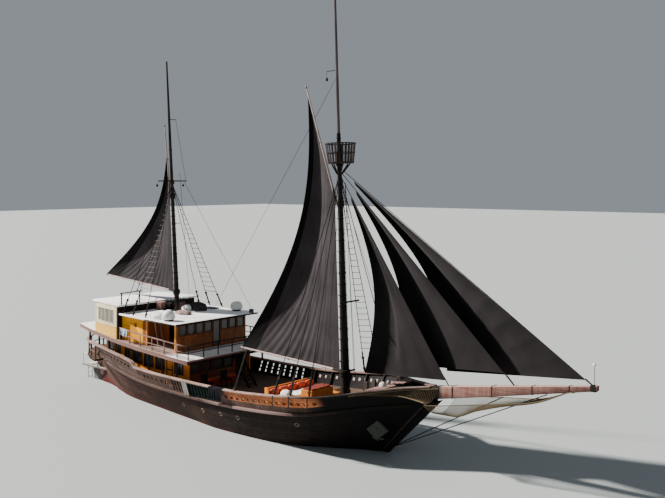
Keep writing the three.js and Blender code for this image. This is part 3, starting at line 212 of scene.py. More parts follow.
def outwards():
    """Turns the normals of what is being edited outwards."""
    bpy.ops.mesh.normals_make_consistent(inside=False)


def grid(name, columns, rows, point_at):
    """A grid primitive laid on the surface point_at(u, v), with its own UV map."""
    deselect()
    bpy.ops.mesh.primitive_grid_add(x_subdivisions=columns, y_subdivisions=rows, size=2, calc_uvs=True)
    piece = bpy.context.object
    piece.name = name
    for vertex in piece.data.vertices:
        vertex.co = point_at((vertex.co.x + 1) / 2, (vertex.co.y + 1) / 2)
    return piece


def applied(piece, kind, **settings):
    """Adds one modifier and applies it at once."""
    focus(piece)
    modifier = piece.modifiers.new(kind.lower(), kind)
    for key, value in settings.items():
        setattr(modifier, key, value)
    bpy.ops.object.modifier_apply(modifier=modifier.name)
    return piece


def settle(piece, material, slot, body="ship", stands_for=(), smooth=35):
    """Gives a finished piece its material and the body that it moves with; its slot is not used."""
    piece.data.materials.clear()
    piece.data.materials.append(material)
    focus(piece)
    bpy.ops.object.shade_smooth_by_angle(angle=math.radians(smooth))
    if body:
        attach(piece, body)
    if stands_for:
        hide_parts(*stands_for)
    return piece


def plug(tree, sockets, values):
    """Sets or links sockets by their name or number."""
    for key, value in values.items():
        if isinstance(value, bpy.types.NodeSocket):
            tree.links.new(value, sockets[key])
        else:
            sockets[key].default_value = value


def node(tree, kind, inputs=None, **settings):
    """A shader node with its settings and its inputs."""
    made = tree.nodes.new("ShaderNode" + kind)
    for key, value in settings.items():
        setattr(made, key, value)
    plug(tree, made.inputs, inputs or {})
    return made


def maths(tree, operation, *values):
    """One step of arithmetic between values."""
    return node(tree, "Math", dict(enumerate(values)), operation=operation).outputs[0]


def scaled(tree, vector, by):
    """A place or a colour, multiplied part by part."""
    return node(tree, "VectorMath", {0: vector, 1: by}, operation="MULTIPLY").outputs[0]


def noise(tree, place, scale, detail, **rest):
    """The grey value of a noise texture."""
    return node(tree, "TexNoise", {"Vector": place, "Scale": scale, "Detail": detail, **rest}).outputs["Fac"]


def mixed(tree, fac, a, b, blend_type="MIX"):
    """A colour mix, whose sockets share one name over several types."""
    mix = node(tree, "Mix", data_type="RGBA", blend_type=blend_type)
    colours = [socket for socket in mix.inputs if socket.type == "RGBA"]
    plug(tree, [mix.inputs[0], *colours], {0: fac, 1: a, 2: b})
    return [socket for socket in mix.outputs if socket.type == "RGBA"][0]


def ramp(tree, value, low, high, start=0.0, end=1.0):
    """Maps a value from low..high to start..end, held at both ends."""
    inputs = {"Value": value, "From Min": low, "From Max": high, "To Min": start, "To Max": end}
    return node(tree, "MapRange", inputs).outputs[0]


def group(name, takes, gives):
    """An empty node group with named sockets; returns it with its input and output nodes."""
    tree = bpy.data.node_groups.new(name, "ShaderNodeTree")
    for label, kind in takes:
        tree.interface.new_socket(label, in_out="INPUT", socket_type="NodeSocket" + kind)
    for label, kind in gives:
        tree.interface.new_socket(label, in_out="OUTPUT", socket_type="NodeSocket" + kind)
    return tree, tree.nodes.new("NodeGroupInput"), tree.nodes.new("NodeGroupOutput")


# Sun and salt on timber: broad bleached patches, runs below edges and fine grain.
weathered, taken, given = group(
    "weathered_timber",
    [("Place", "Vector"), ("Base", "Color"), ("Stain", "Color"), ("Grain", "Vector"), ("Wear", "Float")],
    [("Colour", "Color"), ("Roughness", "Float"), ("Height", "Float")],
)
place = taken.outputs["Place"]
patches = noise(weathered, place, 1.6, 5.0)
runs = noise(weathered, scaled(weathered, place, (11, 11, 0.9)), 1.0, 3.0)
fibres = noise(weathered, scaled(weathered, place, taken.outputs["Grain"]), 1.0, 6.0, Roughness=0.7)
share = ramp(weathered, maths(weathered, "ADD", patches, runs), 0.78, 1.28)
worn = maths(weathered, "MULTIPLY", share, taken.outputs["Wear"])
tinted = mixed(weathered, worn, taken.outputs["Base"], taken.outputs["Stain"])
plug(weathered, given.inputs, {
    "Colour": scaled(weathered, tinted, ramp(weathered, fibres, 0.3, 0.7, 0.68, 1.22)),
    "Roughness": ramp(weathered, fibres, 0.0, 1.0, 0.5, 0.9), "Height": fibres})

# Boards laid side by side: a tone for each board, and a mask along its seams.
boarded, taken, given = group(
    "boarded_surface",
    [("Place", "Vector"), ("Colour", "Color"), ("Width", "Float"), ("Length", "Float"), ("Seam", "Float"),
     ("Contrast", "Float")],
    [("Colour", "Color"), ("Seams", "Float")],
)
bricks = node(boarded, "TexBrick", {
    "Vector": taken.outputs["Place"], "Color1": (0, 0, 0, 1), "Color2": (1, 1, 1, 1),
    "Mortar": (0.5, 0.5, 0.5, 1), "Scale": 1.0, "Mortar Size": taken.outputs["Seam"], "Mortar Smooth": 0.4,
    "Brick Width": taken.outputs["Length"], "Row Height": taken.outputs["Width"]}, offset=0.37)
tone = maths(boarded, "MULTIPLY", maths(boarded, "SUBTRACT", bricks.outputs["Color"], 0.5),
             taken.outputs["Contrast"])
whole = maths(boarded, "MULTIPLY_ADD", bricks.outputs["Fac"], -0.7, 1.0)
factor = maths(boarded, "MULTIPLY", maths(boarded, "ADD", tone, 1.0), whole)
plug(boarded, given.inputs, {"Colour": scaled(boarded, taken.outputs["Colour"], factor),
                             "Seams": bricks.outputs["Fac"]})


def blank(name):
    """A new material, its node tree, its shader and the place on the ship that it shades."""
    material = bpy.data.materials.new(name)
    material.use_nodes = True
    tree = material.node_tree
    return material, tree, tree.nodes["Principled BSDF"], node(tree, "TexCoord").outputs["Object"]


def surfaced(tree, shader, height, strength, distance, values):
    """Sets the shader's inputs, and raises its surface by a height."""
    raised = node(tree, "Bump", {"Height": height, "Strength": strength, "Distance": distance})
    plug(tree, shader.inputs, {"Normal": raised.outputs[0], **values})


def finish(name, base, stain, plane="XZ", grain=(3, 40, 40), wear=0.8, boards=None, bump=0.3, by_uv=False,
           gloss=0.0, metal=0.0, tint=None, shine=0.06):
    """A worn finish. boards is (width, length, seam, contrast) where planks show in the given plane."""
    material, tree, shader, place = blank(name)
    old = node(tree, "Group", {"Place": place, "Base": (*base, 1), "Stain": (*stain, 1), "Grain": grain,
                               "Wear": wear}, node_tree=weathered)
    colour, height = old.outputs["Colour"], old.outputs["Height"]
    if boards:
        if by_uv:
            flat = node(tree, "UVMap").outputs[0]
        else:
            split = node(tree, "SeparateXYZ", {0: place})
            flat = node(tree, "CombineXYZ",
                        {0: split.outputs[plane[0]], 1: split.outputs[plane[1]]}).outputs[0]
        widths = dict(zip(("Width", "Length", "Seam", "Contrast"), boards))
        laid = node(tree, "Group", {"Place": flat, "Colour": colour, **widths}, node_tree=boarded)
        colour = laid.outputs["Colour"]
        height = maths(tree, "MULTIPLY_ADD", laid.outputs["Seams"], -3.0, height)
    if tint:
        colour = tint(tree, place, colour)
    surfaced(tree, shader, height, bump, 0.004,
             {"Base Color": colour, "Roughness": old.outputs["Roughness"], "Metallic": metal,
              "Specular IOR Level": shine, "Coat Weight": gloss, "Coat Roughness": 0.25})
    return material


def part_of(tree, place, axis):
    """One coordinate of a place."""
    return node(tree, "SeparateXYZ", {0: place}).outputs[axis]


def facing(tree, axis):
    """How far the surface faces along one axis of the ship."""
    return part_of(tree, node(tree, "NewGeometry").outputs["Normal"], axis)


def along_ship(tree, place, low, high, start=0.0, end=1.0):
    """A mask that changes with the distance along the ship."""
    return ramp(tree, part_of(tree, place, "X"), low, high, start, end)


def boot_top(tree, place, colour):
    """Painted shade near black at the bow, painted sunlight turning it streaky pinkish brown aft, and red
    bottom paint below a ragged line.
    """
    lift = along_ship(tree, place, -7.0, 5.5, 0.02, 0.26)
    line = maths(tree, "MULTIPLY_ADD", noise(tree, place, 2.3, 4.0), 0.34, part_of(tree, place, "Z"))
    below = ramp(tree, maths(tree, "ADD", line, lift), 0.44, 0.32)
    streaks = ramp(tree, noise(tree, place, 0.8, 3.0), 0.3, 0.6, 0.55, 1.0)
    # Painted light and shade: aft the colour is lifted as sunlight, at the bow it is painted near black as
    # shade.
    painted_light_mask = maths(tree, "MULTIPLY", along_ship(tree, place, 1.8, -4.5), streaks)
    painted_light_aft = mixed(tree, 1.0, colour, mixed(tree, painted_light_mask, (1, 1, 1, 1), (3.3, 2.1, 1.9, 1)), "MULTIPLY")
    painted_shade_bow = mixed(tree, along_ship(tree, place, 3.5, 7.0), painted_light_aft, (0.0055, 0.005, 0.0052, 1))
    return mixed(tree, below, painted_shade_bow, (0.09, 0.022, 0.017, 1))


hull_paint = finish("dark_oiled_planking", (0.019, 0.0135, 0.012), (0.040, 0.027, 0.023), by_uv=True,
                    boards=(0.0476, 0.21, 0.0004, 0.5), grain=(2, 30, 30), bump=0.5, tint=boot_top)
# The slanted opening for the propeller, cut right through both sides: x and z of its four corners.
WELL_HALF = 0.7
WELL = {(-1, -1): (-6.7749, -0.935), (1, -1): (-6.3649, -0.935), (1, 1): (-6.6961, -0.215),
        (-1, 1): (-7.1061, -0.215)}
deselect()
bpy.ops.mesh.primitive_cube_add(size=2)
well = bpy.context.object
for vertex in well.data.vertices:
    x, z = WELL[round(vertex.co.x), round(vertex.co.z)]
    vertex.co = (x, WELL_HALF * vertex.co.y, z)
for side, label in SIDES:
    lines = []
    for strake in range(STRAKES):
        top = TOP_DROP + strake * STRAKE
        lines += [(top, 0.003), (top + SEAM, 0.011), (top + STRAKE - SEAM, 0.011)]
    lines.append((TOP_DROP + STRAKES * STRAKE, 0.003))
    ends = [(strake_end(min(drop, FOREFOOT_DROP), FOREFOOT_AFT, 8.95), strake_end(drop, -6.8, -7.7))
            for drop, _ in lines]

    def skin(u, v):
        index = round(v * (len(lines) - 1))
        drop, proud = lines[index]
        bow, stern = ends[index]
        ease = 0.5 - 0.5 * math.cos(math.pi * u)
        x = bow + (stern - bow) * (0.6 * u + 0.4 * ease)
        z = deck_z(x) - drop
        if drop > KEEL_DROP:
            z = max(z, planking_foot(x) + CLEAR + 0.0006 * (len(lines) - 1 - index))
        half = hull_half(x, z)
        lean = min((hull_half(x, z + 0.01) - hull_half(x, z - 0.01)) / 0.02, 5)
        size = math.hypot(1, lean)
        return Vector((x, side * (half + proud / size), z - proud * lean / size))

    planks = grid(f"hull_strakes_{label}", 84, len(lines) - 1, skin)
    applied(planks, "SOLIDIFY", thickness=SKIN, offset=-1 if side > 0 else 1)
    edited(planks, outwards)
    applied(planks, "BOOLEAN", operation="DIFFERENCE", object=well, solver="MANIFOLD")
    settle(planks, hull_paint, "hull_planking")
focus(well)
bpy.ops.object.delete()


def deck_and_sides(tree, place, colour):
    """Bare deck planks on what faces up, the hull's own paint on the rest."""
    below = boot_top(tree, place, (0.01, 0.008, 0.008, 1))
    return mixed(tree, ramp(tree, facing(tree, "Z"), 0.6, 0.7), below, colour)


deck_wood = finish("deck_planks", (0.13, 0.085, 0.06), (0.075, 0.05, 0.038), plane="XY", wear=0.9,
                   boards=(0.065, 2.6, 0.0035, 0.35), tint=deck_and_sides)


def refinish(name, material):
    """A CAD node keeps its shape and gets a finer material."""
    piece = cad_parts[name]
    piece.data.materials.clear()
    piece.data.materials.append(material)


refinish("hull", deck_wood)


# Stem: a raked timber whose bare fore edge is worn pale, faced with a narrow plank on each side.
FORE, PORT, UP = (1, 0, 0), (0, 1, 0), (0, 0, 1)


def beam(start, end, width, depth, out=UP, ease=0.003):
    """A sawn board from start to end, its depth turned towards out and its edges eased."""
    start, end, out = Vector(start), Vector(end), Vector(out)
    run = end - start
    across = out.cross(run).normalized()
    up = run.cross(across).normalized()
    deselect()
    bpy.ops.mesh.primitive_cube_add(size=1)
    piece = bpy.context.object
    piece.data.transform(Matrix.Diagonal((width, depth, run.length, 1)))
    if ease:
        edited(piece, lambda: bpy.ops.mesh.bevel(offset=min(ease, width / 4, depth / 4), segments=1))
    turn = Matrix((across, up, run.normalized())).transposed().to_4x4()
    piece.data.transform(Matrix.Translation((start + end) / 2) @ turn)
    return piece


def block(low, high, ease=0.004):
    """A block between two corners."""
    low, high = Vector(low), Vector(high)
    size, middle = high - low, (low + high) / 2
    return beam((middle.x, middle.y, low.z), (middle.x, middle.y, high.z), size.y, size.x, FORE, ease)


def joined(name, pieces):
    """Joins pieces into the first of them."""
    deselect()
    for piece in pieces:
        piece.select_set(True)
    bpy.context.view_layer.objects.active = pieces[0]
    bpy.ops.object.join()
    made = bpy.context.object
    made.name = name
    return made


def assembled(name, pieces, material, slot, **rest):
    return settle(joined(name, pieces), material, slot, **rest)


def loft(name, rings):
    """A skin through rings of points, with both ends capped."""
    size = len(rings[0])
    points = [tuple(p) for ring in rings for p in ring]
    faces = [(i * size + j, i * size + (j + 1) % size, (i + 1) * size + (j + 1) % size, (i + 1) * size + j)
             for i in range(len(rings) - 1) for j in range(size)]
    faces += [tuple(range(size))[::-1], tuple(range((len(rings) - 1) * size, len(rings) * size))]
    mesh = bpy.data.meshes.new(name)
    mesh.from_pydata(points, [], faces)
    piece = bpy.data.objects.new(name, mesh)
    bpy.context.collection.objects.link(piece)
    return edited(piece, outwards)


def steps(start, end, count):
    """Values from start to end in equal steps."""
    return [start + (end - start) * i / count for i in range(count + 1)]


worn_stem = finish("worn_stem", (0.03, 0.026, 0.024), (0.085, 0.07, 0.06), grain=(30, 30, 4))
facings = []
for side, _ in SIDES:
    ring_at = [(STEM_RAKE * z + STEM_X, z) for z in steps(0.02, 1.62, 16)]
    facings.append(loft("facing",
                        [[(x - 0.015, side * 0.066, z), (x - 0.015, side * 0.086, z),
                          (x - 0.15, side * 0.098, z), (x - 0.155, side * 0.066, z)] for x, z in ring_at]))
assembled("stem_facings", facings, worn_stem, "dark_wood")


# Wale: the thick rubbing strake just under the deck edge, of worn hardwood bolted outside the
# planking and carried right aft round the gallery; it is rubbed pale amidships.
def rubbed(tree, place, colour):
    near = along_ship(tree, place, 5.2, 3.9)
    after = along_ship(tree, place, 1.0, 2.0)
    middle = maths(tree, "MULTIPLY", near, after)
    bare = mixed(tree, middle, colour, (0.22, 0.145, 0.14, 1))
    return mixed(tree, along_ship(tree, place, 4.6, 6.6), bare, (0.010, 0.009, 0.009, 1))


wale_wood = finish("worn_wale", (0.060, 0.038, 0.033), (0.115, 0.075, 0.066), boards=(0.3, 3.1, 0.004, 0.2),
                   tint=rubbed)
WALE = [(-0.02, -0.09), (0.006, -0.09), (0.016, -0.078), (0.016, -0.052), (0.008, -0.046), (0.016, -0.04),
        (0.016, -0.014), (0.006, -0.004), (-0.02, -0.004)]
for side, label in SIDES:
    rings = []
    for x in steps(8.62, -7.62, 110):
        edge = max(deck_half(x), KEEL_HALF) + 0.035
        rings.append([(x, side * (edge + out), deck_z(x) + up) for out, up in WALE])
    settle(loft(f"wale_{label}", rings), wale_wood, "rail_wood")


# Portholes: five cast bronze rings a side, each bolted over a round of thick dark glass.
def spun(name, profile, foot=(0, 0, 0), head=UP, around=24):
    """A turned piece: its (radius, height) profile spun about the line from foot towards head."""
    mesh = bpy.data.meshes.new(name)
    mesh.from_pydata([(r, 0, h) for r, h in profile], [(i, i + 1) for i in range(len(profile) - 1)], [])
    piece = bpy.data.objects.new(name, mesh)
    bpy.context.collection.objects.link(piece)

    def turn():
        bpy.ops.mesh.spin(steps=around, angle=2 * math.pi, center=(0, 0, 0), axis=UP)
        bpy.ops.mesh.select_all(action="SELECT")
        bpy.ops.mesh.remove_doubles(threshold=0.00002)
        outwards()

    edited(piece, turn)
    aim = (Vector(head) - Vector(foot)).to_track_quat("Z", "Y").to_matrix().to_4x4()
    piece.data.transform(Matrix.Translation(foot) @ aim)
    return piece


bronze = finish("dull_bronze", (0.34, 0.26, 0.17), (0.16, 0.15, 0.11), grain=(20, 20, 20), metal=0.7,
                shine=0.5)
glass = finish("dark_glass", (0.010, 0.013, 0.016), (0.02, 0.024, 0.027), grain=(3, 3, 3), bump=0.05,
               gloss=1.0, shine=0.5)
PORTHOLES = [(-0.2, 0.55), (0.9, 0.565), (1.8, 0.6), (2.6, 0.625), (4.95, 0.78)]
rings, panes = [], []
for side, _ in SIDES:
    for x, z in PORTHOLES:
        half = hull_half(x, z)
        turn = -(hull_half(x + 0.05, z) - hull_half(x - 0.05, z)) / 0.1
        lean = (hull_half(x, z + 0.05) - hull_half(x, z - 0.05)) / 0.1
        out = Vector((turn, side, -lean)).normalized()
        foot = Vector((x, side * half, z)) + out * 0.006
        rings.append(spun("ring",
                          [(0.052, 0.0), (0.052, 0.012), (0.060, 0.02), (0.074, 0.018), (0.082, 0.006),
                           (0.082, 0.0), (0.052, 0.0)], foot, foot + out, 20))
        panes.append(spun("pane", [(0, 0.001), (0.054, 0.001), (0.054, 0.007), (0, 0.009)], foot, foot + out,
                          20))
assembled("porthole_rings", rings, bronze, "bronze")
assembled("porthole_glass", panes, glass, "black_iron")


# Bulwark: upright planks on the deck edge, with scupper slots, bleached pinkish brown aft and nearly
# black forward, braced inside by sawn timberheads. The port gate is closed by a board lattice.
def by_length(tree, place, colour):
    """Tones along the ship: bleached aft, green at the gate, near black at the bow, and near black on the
    inner faces as painted shade.
    """
    bow = along_ship(tree, place, 4.6, 6.0)
    # Painted shade: the faces that look inboard are painted near black.
    inner = ramp(tree, maths(tree, "MULTIPLY", facing(tree, "Y"), part_of(tree, place, "Y")), 0.1, -0.1)
    tan = maths(tree, "MULTIPLY", along_ship(tree, place, 2.1, 2.5), along_ship(tree, place, 6.1, 5.7))
    high = ramp(tree, part_of(tree, node(tree, "UVMap").outputs[0], "Y"), 0.17, 0.20)
    band = maths(tree, "MULTIPLY", tan, high)
    dark = mixed(tree, bow, colour, (0.006, 0.0055, 0.0055, 1))
    warm = mixed(tree, band, dark, mixed(tree, 1.0, colour, (3.6, 1.9, 0.95, 1), "MULTIPLY"))
    gate = maths(tree, "MULTIPLY", along_ship(tree, place, 0.15, 0.17), along_ship(tree, place, 1.97, 1.94))
    shut = mixed(tree, gate, warm, (0.009, 0.017, 0.016, 1))
    return mixed(tree, inner, shut, (0.012, 0.010, 0.010, 1))


bulwark_wood = finish("bulwark_planks", (0.095, 0.058, 0.050), (0.19, 0.122, 0.105), by_uv=True,
                      boards=(0.085, 2.3, 0.003, 0.4), bump=0.5, tint=by_length)
dark_wood = finish("black_oiled_timber", (0.010, 0.0085, 0.008), (0.026, 0.021, 0.019), grain=(40, 40, 3))


def copy_of(name, new_name):
    """A node's mesh as a new piece, its loose triangles merged into clean faces."""
    piece = bpy.data.objects.new(new_name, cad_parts[name].data.copy())
    bpy.context.collection.objects.link(piece)
    return edited(piece, lambda: bpy.ops.mesh.remove_doubles(threshold=0.0002),
                  lambda: bpy.ops.mesh.dissolve_limited(angle_limit=math.radians(0.6)))


def eased(piece, width, segments=2, angle=40):
    """Rounds the sharp edges of a copy."""
    return applied(piece, "BEVEL", width=width, segments=segments, limit_method="ANGLE",
                   angle_limit=math.radians(angle))


def recut(source, name, material, slot, width, segments=2, angle=40, body="ship", smooth=35):
    """A node's own form with rounded edges, which stands for the node."""
    return settle(eased(copy_of(source, name), width, segments, angle), material, slot, body, [source],
                  smooth)


for side, label in SIDES:
    wall = copy_of(f"bulwark_{label}", f"bulwark_planked_{label}")
    layer = wall.data.uv_layers.new(name="along_sheer")
    wall.data.uv_layers.active = layer
    for loop in wall.data.loops:
        place = wall.data.vertices[loop.vertex_index].co
        layer.data[loop.index].uv = (place.x, place.z - deck_z(place.x))
    settle(wall, bulwark_wood, "bulwark_planking", stands_for=[f"bulwark_{label}"], smooth=25)
    heads = []
    for x in [-5.33 + 0.765 * i for i in range(18)]:
        if -0.5 < x < 2.0 or -3.2 < x < -2.3:
            continue
        foot = Vector((x, side * (max(deck_half(x), 0.13) - 0.088), deck_z(x) + 0.004))
        head = Vector((x, side * (rail_half(x) - 0.088), rail_z(x) - 0.002))
        heads.append(beam(foot, head, 0.05, 0.06, (0, side, 0)))
    assembled(f"timberheads_{label}", heads, dark_wood, "dark_wood")

GATE_AFT, GATE_GAP, GATE_BOARDS = -0.45, 0.15, 16
lattice = []
for i in range(GATE_BOARDS):
    x = GATE_AFT + GATE_GAP * i
    y = [(deck_half(x + 0.05) * (1 - t) + rail_half(x + 0.05) * t) - 0.0275 for t in (0.15, 0.9)]
    z = [deck_z(x + 0.05) + 0.055, rail_z(x + 0.05) - 0.03]
    if i % 2:
        lattice.append(beam((x + 0.0525, y[0], z[0]), (x + 0.0525, y[1], z[1]), 0.112, 0.03, PORT))
    for t in (0.36, 0.66):
        middle = [y[0] + (y[1] - y[0]) * t, z[0] + (z[1] - z[0]) * t]
        lattice.append(beam((x - 0.01, middle[0], middle[1]), (x + 0.115, middle[0], middle[1]), 0.05, 0.026,
                            PORT))
assembled("port_gate_lattice", lattice, dark_wood, "dark_wood")


def toned(*bands):
    """A tint that turns, band after band along the ship, from the finish to a colour of its own."""
    def tint(tree, place, colour):
        for low, high, other in bands:
            colour = mixed(tree, along_ship(tree, place, low, high), colour, (*other, 1))
        return colour
    return tint


gate_green = finish("gate_green_paint", (0.006, 0.017, 0.016), (0.014, 0.026, 0.024),
                    tint=toned((0.17, 0.15, (0.075, 0.045, 0.040))))
backs = []
for i in range(GATE_BOARDS):
    x = GATE_AFT + GATE_GAP * i
    low = (x + 0.0525, -(deck_half(x) * 0.85 + rail_half(x) * 0.15) + 0.042, deck_z(x) + 0.06)
    high = (x + 0.0525, -(deck_half(x) * 0.1 + rail_half(x) * 0.9) + 0.042, rail_z(x) - 0.035)
    backs.append(beam(low, high, 0.118, 0.014, PORT))
assembled("starboard_gate_boards", backs, gate_green, "dark_wood")


# Cap rail: a broad bleached plank lying on the bulwark's head in one sweep round the stern, oiled
# dark forward of the shrouds, with a worn pale outer edge.
def cap_tones(tree, place, colour):
    fore, bow = along_ship(tree, place, 4.6, 5.6, 0.0, 0.93), along_ship(tree, place, 7.3, 6.6, 0.45)
    return mixed(tree, maths(tree, "MULTIPLY", fore, bow), colour, (0.020, 0.017, 0.017, 1))


cap_wood = finish("bleached_cap", (0.24, 0.15, 0.125), (0.40, 0.285, 0.25), plane="XY",
                  boards=(0.6, 2.4, 0.003, 0.25), wear=0.9, tint=cap_tones)
rail_wood = finish("bleached_rail", (0.17, 0.095, 0.083), (0.29, 0.185, 0.165), wear=0.9)
rings = []
for x in steps(8.72, -7.55, 150):
    inner, outer, z = max(rail_half(x) - 0.125, 0.06), rail_half(x) + 0.032, rail_z(x)
    rings.append([Vector((x, y, z + up)) for y, up in (
        (outer - 0.006, 0.001), (outer, 0.01), (outer, 0.038), (outer - 0.008, 0.046), (inner + 0.006, 0.046),
        (inner, 0.04), (inner, 0.002))])
turned = []
for angle in steps(0, math.pi, 14)[1:-1]:
    deep = [0.08 if p.y > 0.15 else 0.0 for p in rings[-1]]
    turned.append([Vector((p.x - math.sin(angle) * d, p.y * math.cos(angle), p.z))
                   for p, d in zip(rings[-1], deep)])
other = [[Vector((p.x, -p.y, p.z)) for p in ring] for ring in reversed(rings)]
settle(loft("cap_rail_plank", rings + turned + other), cap_wood, "rail_wood", stands_for=["cap_rail"])


# Bowsprit: a long squared beam with a painted highlight on its top, with iron bands, a black iron cap at
# its end, a lamp on a thin pole, and two chain-like bobstays down to the stem.
def painted_lit_top_tint(tree, place, colour):
    # Painted highlight: the faces that look up are paler, as if in sunlight.
    painted_lit_top = mixed(tree, ramp(tree, facing(tree, "Z"), 0.5, 0.9), colour, (0.34, 0.225, 0.205, 1))
    return toned((9.15, 9.0, (0.012, 0.010, 0.010)))(tree, place, painted_lit_top)


beam_wood = finish("bowsprit_timber", (0.155, 0.068, 0.056), (0.24, 0.14, 0.12), wear=1.0,
                   boards=(0.13, 3.6, 0.003, 0.3), tint=painted_lit_top_tint)
recut("bowsprit", "bowsprit_beam", beam_wood, "spar_wood", 0.02)
iron = finish("painted_iron", (0.013, 0.013, 0.014), (0.045, 0.028, 0.02), grain=(30, 30, 30), metal=0.3)
BOWSPRIT = [(0.0, 0.145, 0.165), (0.38, 0.145, 0.175), (0.64, 0.13, 0.135), (1.0, 0.075, 0.0675)]
heel, tip = Vector((6.25, 0, 1.6)), Vector((13.7, 0, 2.905))
bowsprit_wide, bowsprit_deep = straight(BOWSPRIT, 1), straight(BOWSPRIT, 2)
bands = []
for t, tall in ((0.43, 0.03), (0.60, 0.03), (0.76, 0.03), (0.9, 0.03), (0.985, 0.15)):
    w, d = bowsprit_wide(t) + 0.006, bowsprit_deep(t) + 0.008
    middle = heel.lerp(tip, t)
    bands.append(beam(middle - Vector((tall / 2, 0, 0)), middle + Vector((tall / 2, 0, 0)), 2 * w, 2 * d,
                      UP, 0.006))
bands.append(spun("pole", [(0, 0), (0.009, 0), (0.007, 0.5), (0, 0.5)], (13.6, 0, 2.95), (13.6, 0, 4), 8))
assembled("bowsprit_irons", bands, iron, "black_iron")
white_enamel = finish("white_enamel", (0.82, 0.82, 0.80), (0.62, 0.61, 0.58), grain=(9, 9, 9), wear=0.4,
                      gloss=0.3)
settle(spun("bowsprit_lamp", [(0, 0), (0.03, 0), (0.042, 0.02), (0.042, 0.055), (0.03, 0.08), (0, 0.086)],
            (13.6, 0, 3.44), (13.6, 0, 4), 16), white_enamel, "white_paint")


def ropes(name, runs, radius=1.0, around=1):
    """Ropes or spars through their points; a point's fourth value is its own radius."""
    curve = bpy.data.curves.new(name, "CURVE")
    curve.dimensions = "3D"
    curve.bevel_depth = radius
    curve.bevel_resolution = around
    curve.use_fill_caps = True
    for run in runs:
        spline = curve.splines.new("POLY")
        spline.points.add(len(run) - 1)
        for point, place in zip(spline.points, run):
            point.co = (*place[:3], 1)
            point.radius = place[3] if len(place) > 3 else 1
    piece = bpy.data.objects.new(name, curve)
    bpy.context.collection.objects.link(piece)
    focus(piece)
    bpy.ops.object.convert(target="MESH")
    return bpy.context.object


def rope_finish(name, colour):
    """Laid rope: a twist of strands over a dusty fibre colour, with painted shade darkening the grooves
    between them.
    """
    material, tree, shader, place = blank(name)
    strands = node(tree, "TexWave", {"Vector": place, "Scale": 60.0, "Distortion": 1.5},
                   bands_direction="DIAGONAL").outputs["Fac"]
    dust = noise(tree, place, 30.0, 3.0)
    # Painted shade: the grooves between the strands are darkened.
    dark = tuple(c * 0.45 for c in colour)
    surfaced(tree, shader, strands, 0.5, 0.002, {
        "Base Color": mixed(tree, strands, (*dark, 1), (*colour, 1)),
        "Roughness": ramp(tree, dust, 0, 1, 0.7, 1.0), "Specular IOR Level": 0.1})
    return material


tarred = rope_finish("tarred_rope", (0.020, 0.018, 0.018))
pale_rope = rope_finish("pale_rope", (0.34, 0.28, 0.19))
net_cord = rope_finish("net_cord", (0.17, 0.125, 0.075))


def rigged(name, runs, radius, material=tarred, around=1, body="ship"):
    """Finished ropes, which move with a body."""
    return settle(ropes(name, runs, radius, around), material, "rope", body)


stem_foot = Vector((7.10, 0, 0.10))
rigged("bobstays", [[stem_foot, (11.0, 0, 2.26)], [stem_foot, (12.3, 0, 2.53)]], 0.014, around=2)


# Bowsprit net: knotted cord slung under the bowsprit and back along both bows, from a thick pale
# edge rope. Its middle lies where the thin plate of the source lies.
NET = [(8.975, 0.85, 1.85, 1.475), (9.5, 0.75, 1.915, 1.475), (10.15, 0.625, 2.015, 1.725),
       (11.0, 0.475, 2.15, 2.0), (12.0, 0.3, 2.32, 2.26), (13.1, 0.13, 2.77, 2.77)]
NET_AFT, NET_FORE, BOW_NET_AFT = 8.975, 13.1, 6.75
net_half, net_edge, net_middle = (fair(NET, column) for column in (1, 2, 3))
net_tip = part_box("bowsprit_net")[1].z


def net_at(u, v):
    x = NET_AFT + (NET_FORE - NET_AFT) * u
    across = 2 * v - 1
    z = net_middle(x) + (net_edge(x) - net_middle(x)) * across**2
    return Vector((x, across * net_half(x), min(z, net_tip)))


def bow_net(side):
    """The part of the net that hangs along one bow, between the rail and the edge rope."""
    def at(u, v):
        x = BOW_NET_AFT + (NET_AFT - BOW_NET_AFT) * u
        inner = Vector((x, max(rail_half(x), 0.1) + 0.03, rail_z(x) - 0.03))
        swell = 0.85 * u**1.4
        outer = Vector((x, max(rail_half(x) + 0.04, 0) * (1 - u) + swell, rail_z(x) - 0.04 - 0.26 * u))
        low = inner.lerp(outer, v)
        low.z -= 0.34 * u * math.sin(math.pi * v) * 0.5
        return Vector((low.x, side * low.y, low.z))
    return at


def knotted(piece):
    edited(piece, lambda: bpy.ops.mesh.poke(), lambda: bpy.ops.mesh.tris_convert_to_quads())
    return applied(piece, "WIREFRAME", thickness=0.0125, use_even_offset=False)


settle(knotted(grid("bowsprit_net_web", 56, 20, net_at)), net_cord, "net_cord", stands_for=["bowsprit_net"],
       smooth=60)
for side, label in SIDES:
    settle(knotted(grid(f"bow_net_{label}", 30, 8, bow_net(side))), net_cord, "net_cord", smooth=60)
edges = []
for side, v in ((-1, 0), (1, 1)):
    edges.append([bow_net(side)(t, 1) for t in steps(0, 1, 20)] + [net_at(t, v) for t in steps(0, 1, 40)[1:]])
    edges.append([bow_net(side)(t, 0) for t in steps(0, 1, 20)])
settle(ropes("net_edge_ropes", edges, 0.013, 2), net_cord, "net_cord")


# Lower deckhouse: varnished orange boards with dark glazed windows in raised frames, a red-brown
# lower edge, and a hinged door of ledged boards on each side.
# Painted sunlight: the sides' orange is brighter than the varnish, for the sun that falls on them.
orange = finish("orange_varnish", (0.95, 0.32, 0.025), (0.72, 0.20, 0.016), boards=(0.045, 1.3, 0.0016, 0.3),
                plane="ZX", gloss=0.3)
